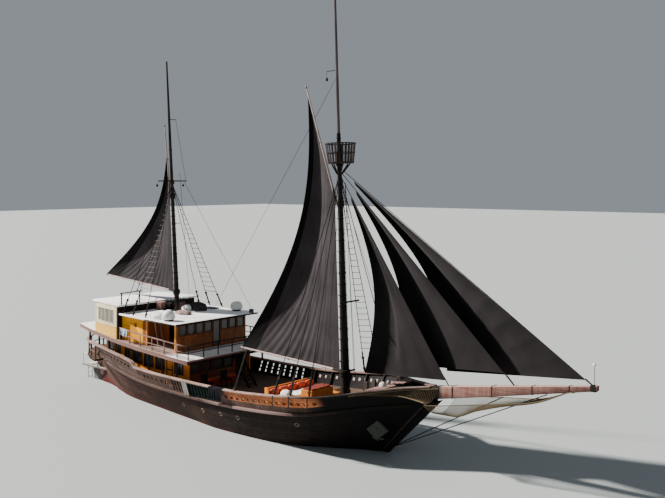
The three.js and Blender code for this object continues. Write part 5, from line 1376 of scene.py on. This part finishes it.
def flat_area(points, columns, rows):
    """The cloth's own area, from its grid of points."""
    area = 0.0
    for i in range(columns):
        for j in range(rows):
            a, b, c, d = (points[i + di, j + dj] for di, dj in ((0, 0), (1, 0), (1, 1), (0, 1)))
            area += (b - a).cross(d - a).length / 2 + (b - c).cross(d - c).length / 2
    return area


# Columns: node, body, tack, clew, peak, throat, belly, where it is fullest, hollow, folds, where the painted
# leech shadow starts.
SAILS = [
    ("mainsail", "main_boom", (5.35, 0, 2.2), (0.75, 0, 2.4), (3.75, 0, 10.7), (5.1, 0, 7.5), 0.34, 1.9, 1.12,
     "foot", 0.84),
    ("mizzen_sail", "mizzen_boom", (-2.9, 0, 4.0), (-7.2, 0, 4.3), (-3.45, 0, 9.0), (-3.1, 0, 7.6), 0.26, 1.9,
     1.0, "foot", 0.80),
    ("headsail_inner", "ship", (9.1, 0, 2.5), (5.8, 0.5, 2.1), (5.7, 0, 7.6), (5.7, 0, 7.6), 0.30, 1.8, 0.625,
     "leech", 0.97),
    ("headsail_middle", "ship", (11.0, 0, 3.0), (7.2, 0.65, 2.53), (5.9, 0, 7.8), (5.9, 0, 7.8), 0.38, 1.8,
     0.65, "none", 0.97),
    ("headsail_outer", "ship", (13.3, 0, 3.1), (8.6, 0.9, 2.49), (5.8, 0, 8.1), (5.8, 0, 8.1), 0.44, 1.8, 1.0,
     "luff", 0.97),
]
# Painted shade: the headsails' cloth is darkened to about two fifths of the mainsail's for the shade that
# they lie in.
CELLS, HEADSAIL_SHADE, MAIN_SHADE = 32, 0.36, 0.9
for name, body, tack, clew, peak, throat, belly, full, hollow, folds, shadow_edge in SAILS:
    tack, clew, throat = corner(name, tack), corner(name, clew), corner(name, throat)
    peak = corner(name, peak) if body != "ship" else throat.lerp(clew, 0.02)
    tack.y = throat.y = 0.0
    if body != "ship":
        clew.y = peak.y = 0.0

    def cloth_at(u, v):
        point = tack.lerp(clew, u).lerp(throat.lerp(peak, u), v)
        depth = belly * math.sin(math.pi * u**full) * math.sin(math.pi * v) ** 0.7
        if folds == "foot":
            fan = (1 - v) ** 2.2 * math.sin(math.pi * min(u * 1.05, 1))
            depth += 0.015 * fan * math.sin(85 * u * (1 + 0.8 * v) + 2 * math.sin(5 * u))
            ripple = math.sin(46 * u + 1.5 * math.sin(6 * v))
            depth += 0.008 * math.sin(math.pi * u) * math.sin(math.pi * v) * ripple
        elif folds == "luff":
            near = max(0.0, 1 - u * 1.25) * math.sin(math.pi * min(v * 2.1, 1)) * (v < 0.48)
            depth += 0.065 * near * abs(math.sin(34 * (v + 0.16 * u))) * u**0.3
        elif folds == "leech":
            crease = math.exp(-((u - 0.62 + 0.35 * v) / 0.07) ** 2) * math.sin(math.pi * min(v * 1.3, 1))
            depth += 0.06 * crease
            depth -= 0.08 * math.exp(-((u - 0.5 + 0.1 * v) / 0.09) ** 2) * math.exp(-((v - 0.16) / 0.12) ** 2)
        depth += 0.008 * math.sin(17 * u + 9 * v) * math.sin(math.pi * u) * math.sin(math.pi * v)
        point.y += depth
        point.x += hollow * math.sin(math.pi * v) * u * u
        return point

    points = {(i, j): cloth_at(i / CELLS, j / CELLS) for i in range(CELLS + 1) for j in range(CELLS + 1)}
    sheet = grid(name + "_cloth", 110, 110, cloth_at)
    applied(sheet, "SOLIDIFY", thickness=0.004, offset=0)
    shade = HEADSAIL_SHADE if body == "ship" else MAIN_SHADE
    settle(sheet, canvas("charcoal_" + name, shadow_edge, shade), "sailcloth", body=body, stands_for=[name],
           smooth=80)
    area = flat_area(points, CELLS, CELLS)
    border = [cloth_at(0, 0)]
    for edge in ((lambda t: (0, t)), (lambda t: (t, 1)), (lambda t: (1, 1 - t)), (lambda t: (1 - t, 0))):
        border += [cloth_at(*edge(t)) for t in steps(0, 1, 30)[1:]]
    rigged(name + "_bolt_rope", [border], 0.009, body=body)
    ties = []
    if body != "ship":
        for edge_v, carrier in ((0, -1), (1, 1)):
            for u in steps(0.06, 0.94, 14 if edge_v == 0 else 8):
                place = cloth_at(u, edge_v)
                ties.append([place + Vector((0, 0.004, -0.02 * carrier)),
                             place + Vector((0, 0, 0.025 * carrier))])
        rigged(name + "_lashings", ties, 0.006, pale_rope, body=body)
        mast_foot, mast_head, mast_at = ((MAIN_FOOT, MAIN_HEAD, main_radius) if name == "mainsail"
                                         else (MIZZEN_FOOT, MIZZEN_TOP, mizzen_radius))
        held, grips = [], []
        mast_run = (mast_head - mast_foot).normalized()
        for t in steps(0.05, 0.95, 14):
            luff_point = cloth_at(0, t)
            reach = (luff_point - mast_foot).dot(mast_run)
            centre, r = mast_foot + mast_run * reach, mast_at(reach) + 0.012
            held.append(hoop(r, r + 0.012, r + 0.014, 0.008, centre, mast_run, 20))
            aft = (luff_point - centre).normalized()
            grips.append([centre + aft * (r + 0.004), luff_point + aft * 0.02])
        assembled(name + "_hoops", held, dark_wood, "dark_wood", body=body)
        rigged(name + "_seizings", grips, 0.007, body=body)


# Standing rigging: tarred wire and rope. The forestays carry the headsails; the shrouds end in
# deadeyes and lanyards at the rail and the roof's edge, with rope steps tied across two of them.
for name in ("forestay_inner", "forestay_middle", "forestay_outer", "main_shrouds", "mizzen_shrouds"):
    refinish(name, tarred)
pale_steps = rope_finish("rope_steps", (0.22, 0.195, 0.18))


def shroud(foot_x, half, mast_foot, mast_head, height, radius, rest):
    """One shroud's two ends, as the source lays them."""
    top, _ = along_line(mast_foot, mast_head, height)
    lean = math.hypot(foot_x - top.x, half) / (top.z - rest)
    end = Vector((foot_x, half, rest + 0.0275 * lean))
    aim = Vector((end.x - top.x, end.y - top.y, 0)).normalized()
    return end, top + aim * (radius + 0.011)


MAIN_FEET = [(x, rail_half(x) - 0.03, rail_z(x) + 0.048) for x in (4.45, 5.1, 5.75)]
MIZZEN_FEET = [(x, 1.81, roof_z(x) + 0.002) for x in (-2.27, -3.0, -3.625)]
eyes, lanyards, dark_rungs, pale_rungs = [], [], [], []
for feet, mast_foot, mast_head, height, radius in (
        (MAIN_FEET, MAIN_FOOT, MAIN_HEAD, 6.825, main_radius(6.78)),
        (MIZZEN_FEET, MIZZEN_FOOT, MIZZEN_TOP, 6.75, mizzen_radius(6.705))):
    for side in (-1, 1):
        ends = [shroud(x, side * half, mast_foot, mast_head, height, radius, rest) for x, half, rest in feet]
        for end, start in ends:
            run = (start - end).normalized()
            fore = Vector(FORE) - run * run.x
            out = run.cross(fore).normalized()
            for reach in (0.12, 0.52):
                middle = end + run * reach
                eyes.append(spun("eye",
                                 [(0, -0.022), (0.045, -0.022), (0.052, -0.01), (0.052, 0.01), (0.045, 0.022),
                                  (0, 0.022)], middle, middle + out, 16))
            for shift in (-0.028, 0.0, 0.028):
                lanyards.append([end + run * 0.13 + fore.normalized() * shift,
                                 end + run * 0.51 + fore.normalized() * shift])
            lanyards.append([end + run * 0.55, end + run * 0.95])
        if feet is MAIN_FEET and side < 0:
            continue
        for t in steps(0.13, 0.95, 26 if feet is MAIN_FEET else 20):
            a, b = (end.lerp(start, t) for end, start in ends[:2])
            over, rungs = (b - a) * 0.06, dark_rungs if side > 0 else pale_rungs
            rungs.append([a - over, a.lerp(b, 0.5) - Vector((0, 0, 0.008)), b + over])
assembled("deadeyes", eyes, dark_wood, "dark_wood")
rigged("lanyards", lanyards, 0.010)
rigged("port_shroud_steps", dark_rungs, 0.010)
rigged("starboard_shroud_steps", pale_rungs, 0.0065, pale_steps)

lines = []
hounds = main_at(6.6)
mizzen_hounds = mizzen_at(9.35)
for side in (-1, 1):
    rail_end = (6.15, side * (rail_half(6.15) - 0.04), rail_z(6.15) + 0.05)
    lines.append([hounds + Vector((0.05, side * 0.08, 0)), rail_end])
for dx, dy, foot_x in ((0.16, 0.05, 5.75), (0.16, -0.05, 5.68), (0.14, 0.10, 5.62)):
    lines.append([hounds + Vector((dx, dy, 0.2)), (foot_x, dy * 2, 1.95)])
lines += [[mizzen_hounds + Vector((0.03, 0.29, 0)), (-2.93, 0.58, 8.06)],
          [(-2.75, 0.12, 8.4), (-2.45, 0.35, 3.6)], [(5.05, 0.05, 11.4), (-2.75, 1.90, 3.27)],
          [(-3.05, 0.58, 8.07), (-0.62, 1.85, 3.245)]]
rigged("running_lines", lines, 0.0065)
tackles = [[(9.25, 0, 2.30, 0.016), (9.10, 0, 2.52, 0.016)],
           [(11.34, 0, 2.63, 0.014), (11.05, 0, 2.93, 0.014)],
           [(13.55, 0, 2.96, 0.014), (13.36, 0, 3.10, 0.014)]]
rigged("tack_tackles", tackles, 1.0, around=2)
pads = []
for x, _, _ in MAIN_FEET:
    for side in (-1, 1):
        near, far = sorted((side * (rail_half(x) + 0.034), side * (rail_half(x) + 0.034) + side * 0.012))
        pads.append(block((x - 0.022, near, rail_z(x) - 0.30), (x + 0.022, far, rail_z(x) + 0.05)))
assembled("chain_plates", pads, iron, "black_iron")


# Sheets: each boom is hauled by a rope tackle with two wooden blocks, to the starboard rail for the
# main boom and to a cross bar above the aft cabin for the mizzen.
block_wood = finish("tackle_blocks", (0.07, 0.05, 0.045), (0.14, 0.11, 0.10), grain=(30, 30, 5))


def tackle(name, low, high, body, parts, wide):
    """A sheet tackle between the ship and a boom: each block moves with its own end, and the rope is laid
    between them.
    """
    low, high = Vector(low), Vector(high)
    run = (high - low).normalized()
    fore = Vector(FORE) - run * run.x
    falls = [[low.lerp(high, t) + fore.normalized() * shift for t in steps(0.05, 0.95, 14)]
             for shift in [wide * (i - (parts - 1) / 2) for i in range(parts)]]
    piece = rigged(name + "_falls", falls, 0.008, body=None)
    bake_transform(piece)
    for end, carried, place in (("lower", "ship", low + run * 0.05), ("upper", body, high - run * 0.05)):
        shell = beam(place - run * 0.05, place + run * 0.05, 0.075, 0.045, fore, 0.018)
        settle(shell, block_wood, "spar_wood", body=carried).name = f"{name}_{end}_block"


FALL_GAP = 0.02
tackle("main_sheet", (2.65, -2.13, 1.52), (1.0, -0.02, 2.29), "main_boom", 3, FALL_GAP)
crutch = [block((-3.80, -1.76, 3.586), (-3.76, -1.72, 4.0), 0.005),
          beam((-3.78, -1.80, 4.0), (-3.70, -0.88, 4.03), 0.035, 0.035, UP, 0.005),
          block((-3.74, -1.00, 3.586), (-3.70, -0.96, 4.01), 0.005)]
assembled("mizzen_horse", crutch, dark_wood, "dark_wood")
tackle("mizzen_sheet", (-3.71, -1.1, 4.055), (-5.0, -0.02, 4.11), "mizzen_boom", 2, FALL_GAP)


# Foredeck seats: a red bench, a stair to the boat deck, and a slatted orange lounge with end panels
# and a low back, all screwed to the deck; an orange chest with a red lid stands forward of them.
red_box = finish("red_bench", (0.19, 0.036, 0.024), (0.12, 0.024, 0.018), grain=(4, 30, 30))
seat_orange = finish("lounge_varnish", (0.62, 0.20, 0.022), (0.40, 0.115, 0.014), grain=(4, 30, 30),
                     gloss=0.3)
recut("front_bench", "front_bench_box", red_box, "dark_wood", 0.004, 2)
recut("front_stair", "front_stair_treads", dark_wood, "dark_wood", 0.004, 1)
recut("lounge_frame", "lounge_frame_boards", seat_orange, "orange_varnish", 0.005, 2)
chest = [block((4.42, -0.95, 1.30), (4.86, 0.05, 1.62), 0.006)]
for y in steps(-0.93, 0.03, 4):
    chest.append(block((4.862, y - 0.02, 1.32), (4.872, y + 0.02, 1.60), 0.003))
assembled("deck_chest", chest, seat_orange, "orange_varnish")
lid = [block((4.45, y, 1.6205), (4.83, y + 0.29, 1.660), 0.014) for y in (-0.90, -0.60, -0.30)]
assembled("chest_lid", lid, red_box, "dark_wood")
stools = []
for x, y in ((0.35, -1.25), (0.42, -0.42)):
    stools.append(block((x - 0.16, y - 0.16, 1.26), (x + 0.16, y + 0.16, 1.29), 0.01))
    for dx in (-0.12, 0.12):
        for dy in (-0.12, 0.12):
            stools.append(beam((x + dx * 1.15, y + dy * 1.15, floor_z(x) + 0.012), (x + dx, y + dy, 1.27),
                               0.03, 0.03, FORE))
    stools.append(block((x - 0.155, y - 0.155, 1.29), (x - 0.125, y + 0.155, 1.56), 0.008))
assembled("front_chairs", stools, dark_wood, "dark_wood")


# Cushions: sewn pads of worn cloth over soft filling, each blown up a little by its own stuffing.
def fabric(name, colour, faded):
    """A coarse plain weave with faded patches."""
    material, tree, shader, place = blank(name)
    split = node(tree, "SeparateXYZ", {0: place})
    threads = [maths(tree, "SINE", maths(tree, "MULTIPLY", split.outputs[axis], 2400.0)) for axis in "XY"]
    weave = maths(tree, "MULTIPLY", *threads)
    fade = noise(tree, place, 5.0, 4.0)
    surfaced(tree, shader, maths(tree, "MULTIPLY_ADD", fade, 3.0, weave), 0.3, 0.002, {
        "Base Color": mixed(tree, ramp(tree, fade, 0.35, 0.68), (*colour, 1), (*faded, 1)),
        "Roughness": ramp(tree, fade, 0, 1, 0.82, 0.98), "Specular IOR Level": 0.1, "Sheen Weight": 0.15,
        "Sheen Roughness": 0.5})
    return material


CLOTH_FRAMES = 20


def stuffed(name, cells, cap, voxel, ease):
    """Pads as sewn boxes: remeshed, blown up by the cloth solver, then rounded."""
    pad = joined(name, [block(low, high, ease) for low, high in cells])
    applied(pad, "REMESH", mode="VOXEL", voxel_size=voxel)
    rest = [vertex.co.copy() for vertex in pad.data.vertices]
    low = min(co.z for co in rest)
    bpy.context.scene.frame_set(1)
    focus(pad)
    cloth = pad.modifiers.new("cloth", "CLOTH")
    cloth.settings.quality = 5
    cloth.settings.mass = 0.3
    cloth.settings.tension_stiffness = cloth.settings.compression_stiffness = 12
    cloth.settings.shear_stiffness = 8
    cloth.settings.bending_stiffness = 0.3
    cloth.settings.use_pressure = True
    cloth.settings.uniform_pressure_force = 4
    cloth.settings.effector_weights.gravity = 0
    cloth.point_cache.frame_start, cloth.point_cache.frame_end = 1, CLOTH_FRAMES
    for frame_number in range(1, CLOTH_FRAMES + 1):
        bpy.context.scene.frame_set(frame_number)
    focus(pad)
    bpy.ops.object.modifier_apply(modifier=cloth.name)
    bpy.context.scene.frame_set(1)
    for vertex, start in zip(pad.data.vertices, rest):
        move = vertex.co - start
        if move.length > cap:
            vertex.co = start + move.normalized() * cap
        vertex.co.z = max(vertex.co.z, low)
    applied(pad, "SUBSURF", levels=1, render_levels=1)
    return pad


red_fabric = fabric("red_cushion_cloth", (0.46, 0.050, 0.018), (0.58, 0.085, 0.03))
white_cover = fabric("white_mattress_cloth", (0.72, 0.70, 0.66), (0.84, 0.83, 0.80))
PILLOWS = [(-1.52 + 0.406 * i, -1.52 + 0.406 * i + 0.385) for i in range(5)]
pillow_cells = [((3.56, y0 + 0.012, 1.37), (3.70, y1 - 0.012, 1.60)) for y0, y1 in PILLOWS]
mattress_cells = [((3.737, -1.528, 1.345), (4.288, 0.503, 1.424))]
bench_seats = steps(-1.15, 0.50, 4)
bench_cells = [((-0.318, y0 + 0.006, 1.172), (-0.052, y1 - 0.006, 1.236))
               for y0, y1 in zip(bench_seats, bench_seats[1:])]
for name, cells, cap, voxel, ease, cloth, slot, source, fill in (
        ("lounge_pillows", pillow_cells, 0.026, 0.012, 0.034, red_fabric, "red_fabric", "lounge_cushions",
         0.75),
        ("lounge_mattress_pad", mattress_cells, 0.01, 0.014, 0.012, white_cover, "white_fabric",
         "lounge_mattress", 0.8),
        ("bench_cushions", bench_cells, 0.010, 0.012, 0.012, red_fabric, "red_fabric",
         "front_bench_cushion", 0.75)):
    pad = settle(stuffed(name, cells, cap, voxel, ease), cloth, slot, stands_for=[source], smooth=60)


# Windlass: a hardwood drum between cheeks, turned by bars, with iron rims and a few turns of chain, and
# behind it two heavy mooring posts.
windlass_wood = finish("windlass_timber", (0.035, 0.026, 0.023), (0.085, 0.065, 0.055), grain=(30, 30, 5),
                       wear=0.9)
recut("windlass", "windlass_frame", windlass_wood, "dark_wood", 0.006, 2, 30)
irons = []
for y in (-0.36, -0.12, 0.12, 0.36):
    irons.append(spun("rim", [(0.084, -0.016), (0.098, -0.016), (0.101, -0.008), (0.101, 0.008),
                              (0.098, 0.016), (0.084, 0.016), (0.084, -0.016)], (6.125, y, 1.575),
                      (6.125, y + 1, 1.575), 24))
assembled("windlass_rims", irons, iron, "black_iron")


def chain_link(place, run, turn, length, thick):
    """One oval link of round iron, its long side along run."""
    run = Vector(run).normalized()
    side = run.orthogonal().normalized()
    side = (Matrix.Rotation(turn, 3, run) @ side).normalized()
    oval = []
    for angle in steps(0, 2 * math.pi, 12):
        end = Vector(place) + run * math.cos(angle) * length / 2
        oval.append(end + side * math.sin(angle) * length * 0.32)
    return ropes("link", [oval], thick, 1)


links = []
for y in (-0.24, 0.24):
    start, end = Vector((6.06, y, 1.655)), Vector((7.35, y * 1.5, deck_z(7.35) + 0.02))
    for i, t in enumerate(steps(0.0, 1.0, 26)):
        sag = Vector((0, 0, -0.05 * math.sin(math.pi * t)))
        place = start.lerp(end, t) + sag
        place.z = max(place.z, deck_z(place.x) + 0.016)
        links.append(chain_link(place, end - start, (i % 2) * math.pi / 2, 0.062, 0.006))
assembled("anchor_chain", links, iron, "black_iron")


# Bow fittings: a pale platform plank on each side of the bowsprit, its upright posts and thin poles,
# a slack white bag, and coils of rope.
fore_planks = []
for side in (-1, 1):
    for dx in (0.0, 0.17, 0.34):
        x0, x1 = 7.05 + dx, 7.19 + dx
        near, far = sorted((side * 0.17, side * (rail_half((x0 + x1) / 2) - 0.06)))
        fore_planks.append(block((x0, near, rail_z(x0) + 0.047), (x1, far, rail_z(x0) + 0.075), 0.005))
assembled("foredeck_planks", fore_planks, rail_wood, "rail_wood")
poles = []
for x, y, tall in ((6.35, -0.95, 0.48), (6.62, -1.22, 0.40), (6.62, 1.22, 0.40), (7.02, -0.94, 0.30),
                   (7.02, 0.94, 0.30)):
    low = rail_z(x) + 0.03 if abs(y) > rail_half(x) - 0.16 else deck_z(x) + 0.004
    poles.append(spun("pole", [(0, 0), (0.022, 0), (0.022, 0.012), (0.012, 0.02), (0.012, tall),
                               (0.02, tall + 0.012), (0.012, tall + 0.03), (0, tall + 0.032)], (x, y, low),
                      (x, y, low + 1), 12))
assembled("bow_posts", poles, iron, "black_iron")
heap("bow_bag", (7.27, -0.50, rail_z(7.2) + 0.078), (0.10, 0.09, 0.14), white_cloth, 5, 4)
heap("lounge_bag", (4.05, -1.22, 1.438), (0.20, 0.14, 0.16), white_cloth, 6, 5)


def coil(centre, radius, turns, thick):
    """A rope coil laid flat on the deck."""
    points = []
    for i in range(turns * 22 + 1):
        angle = 2 * math.pi * i / 22
        lift = thick * (1 + 1.7 * (i // 22 // 2))
        reach = radius - thick * 2.1 * (i // 22 % 2)
        points.append((centre[0] + reach * math.cos(angle), centre[1] + reach * math.sin(angle),
                       centre[2] + lift))
    return ropes("coil", [points], thick, 1)


coils = [coil((x, y, deck_z(x) + 0.002), 0.15, 5, 0.012)
         for x, y in ((5.85, -1.15), (5.75, 1.2), (2.2, -1.45), (-6.2, 0.3))]
assembled("rope_coils", coils, pale_rope, "rope")


# Gangway drapes: two dark cloths hung over the starboard gate's head, and a pale gatepost beside it.
drape_cloth = finish("dark_drape", (0.009, 0.009, 0.012), (0.022, 0.021, 0.026), grain=(150, 150, 150),
                     shine=0.0)
DRAPE_WIDE, DRAPE_LONG = 0.30, 0.79
for name, fore in (("gate_drape_fore", 2.16), ("gate_drape_aft", 1.82)):
    def over_gate(u, v):
        x = fore - DRAPE_WIDE * u
        outer, top = rail_half(x) + 0.036, rail_z(x) + 0.052
        if v < 0.3:
            return Vector((x, -(rail_half(x) - 0.13 + 0.005 * math.sin(20 * u)),
                           top - 0.28 * (0.3 - v) / 0.3))
        if v < 0.5:
            return Vector((x, -(rail_half(x) - 0.13 + (0.166 + 0.002) * (v - 0.3) / 0.2), top))
        fall = (v - 0.5) / 0.5
        return Vector((x, -(outer + 0.012 + 0.012 * math.sin(17 * u + 2 * fall) * fall), top - 0.34 * fall))

    drape = grid(name, 30, 40, over_gate)
    applied(drape, "SOLIDIFY", thickness=0.003, offset=0)
    settle(drape, drape_cloth, "white_fabric", smooth=80)
pale_board = finish("pale_board", (0.36, 0.33, 0.30), (0.24, 0.20, 0.18), grain=(40, 40, 3))
boards = [beam((x, -rail_half(x) - 0.047, rail_z(x) + 0.06), (x, -deck_half(x) - 0.062, deck_z(x) + 0.03),
               0.075, 0.02, PORT, 0.004) for x in (0.19, 0.28, 0.37)]
assembled("gate_fender_boards", boards, pale_board, "rail_wood")


# Anchors: forged iron, stocked at the bow under the bowsprit, each against a diamond wear plate.
anchor_iron = finish("anchor_iron", (0.050, 0.062, 0.056), (0.08, 0.068, 0.055), grain=(25, 25, 25))
for side, label in SIDES:
    recut(f"anchor_{label}", f"anchor_forging_{label}", anchor_iron, "black_iron", 0.006, 2, 30)


# Stern gallery: pinkish turned-looking balusters and a top rail round the stern, over a dark recess
# with shuttered lights.
gallery_wood = finish("gallery_timber", (0.075, 0.045, 0.04), (0.20, 0.13, 0.115), grain=(30, 30, 4),
                      wear=0.9)
recut("gallery_balustrade", "gallery_balusters", gallery_wood, "rail_wood", 0.006, 2)


# Stern platform and ladder: a white painted platform on two beams from the quarters, with handrails
# and a ladder down to the water.
platform_paint = finish("platform_paint", (0.74, 0.74, 0.71), (0.50, 0.44, 0.38), plane="XY",
                        boards=(0.07, 1.4, 0.004, 0.12), wear=0.9)
recut("stern_platform", "stern_platform_grating", platform_paint, "white_paint", 0.005, 2)


# Rudder and propeller: a broad grey painted blade on a raked stock, and a cast bronze screw in the
# opening ahead of it.
rudder_paint = finish("rudder_paint", (0.12, 0.125, 0.125), (0.07, 0.042, 0.034),
                      boards=(0.16, 2.6, 0.004, 0.2), plane="ZX", wear=1.0)
recut("rudder", "rudder_blade", rudder_paint, "hull_planking", 0.008, 2, body="rudder")
SHAFT_Z = -0.575
screw = [spun("hub", [(0, 0), (0.0525, 0), (0.052, 0.05), (0.045, 0.12), (0.03, 0.165), (0.012, 0.179),
                      (0, 0.18)], (-6.6465, 0, SHAFT_Z), (-6.8265, 0, SHAFT_Z), 24)]
for quarter in range(4):
    def blade_at(u, v):
        """One twisted blade, from its root on the hub to its round tip."""
        half = 0.03 + 0.03 * math.sin(math.pi / 2 * min(v / 0.6, 1))
        if v > 0.6:
            half = max(0.06 * math.sqrt(max(1 - ((v - 0.6) / 0.4) ** 2, 0)), 0.004)
        pitch = 0.8 - 0.4 * v
        along = (2 * u - 1) * half
        point = Vector((along * math.sin(pitch) - 0.006 * math.cos(math.pi * (u - 0.5)),
                        along * math.cos(pitch), 0.04 + 0.256 * v))
        return Matrix.Rotation(quarter * math.pi / 2, 3, "X") @ point + Vector((-6.7355, 0, SHAFT_Z))

    blade = applied(grid("blade", 14, 18, blade_at), "SOLIDIFY", thickness=0.012, offset=0)
    edited(blade, outwards)
    screw.append(eased(blade, 0.004, 2, 50))
assembled("propeller_screw", screw, bronze, "bronze", body="propeller", stands_for=["propeller"], smooth=50)
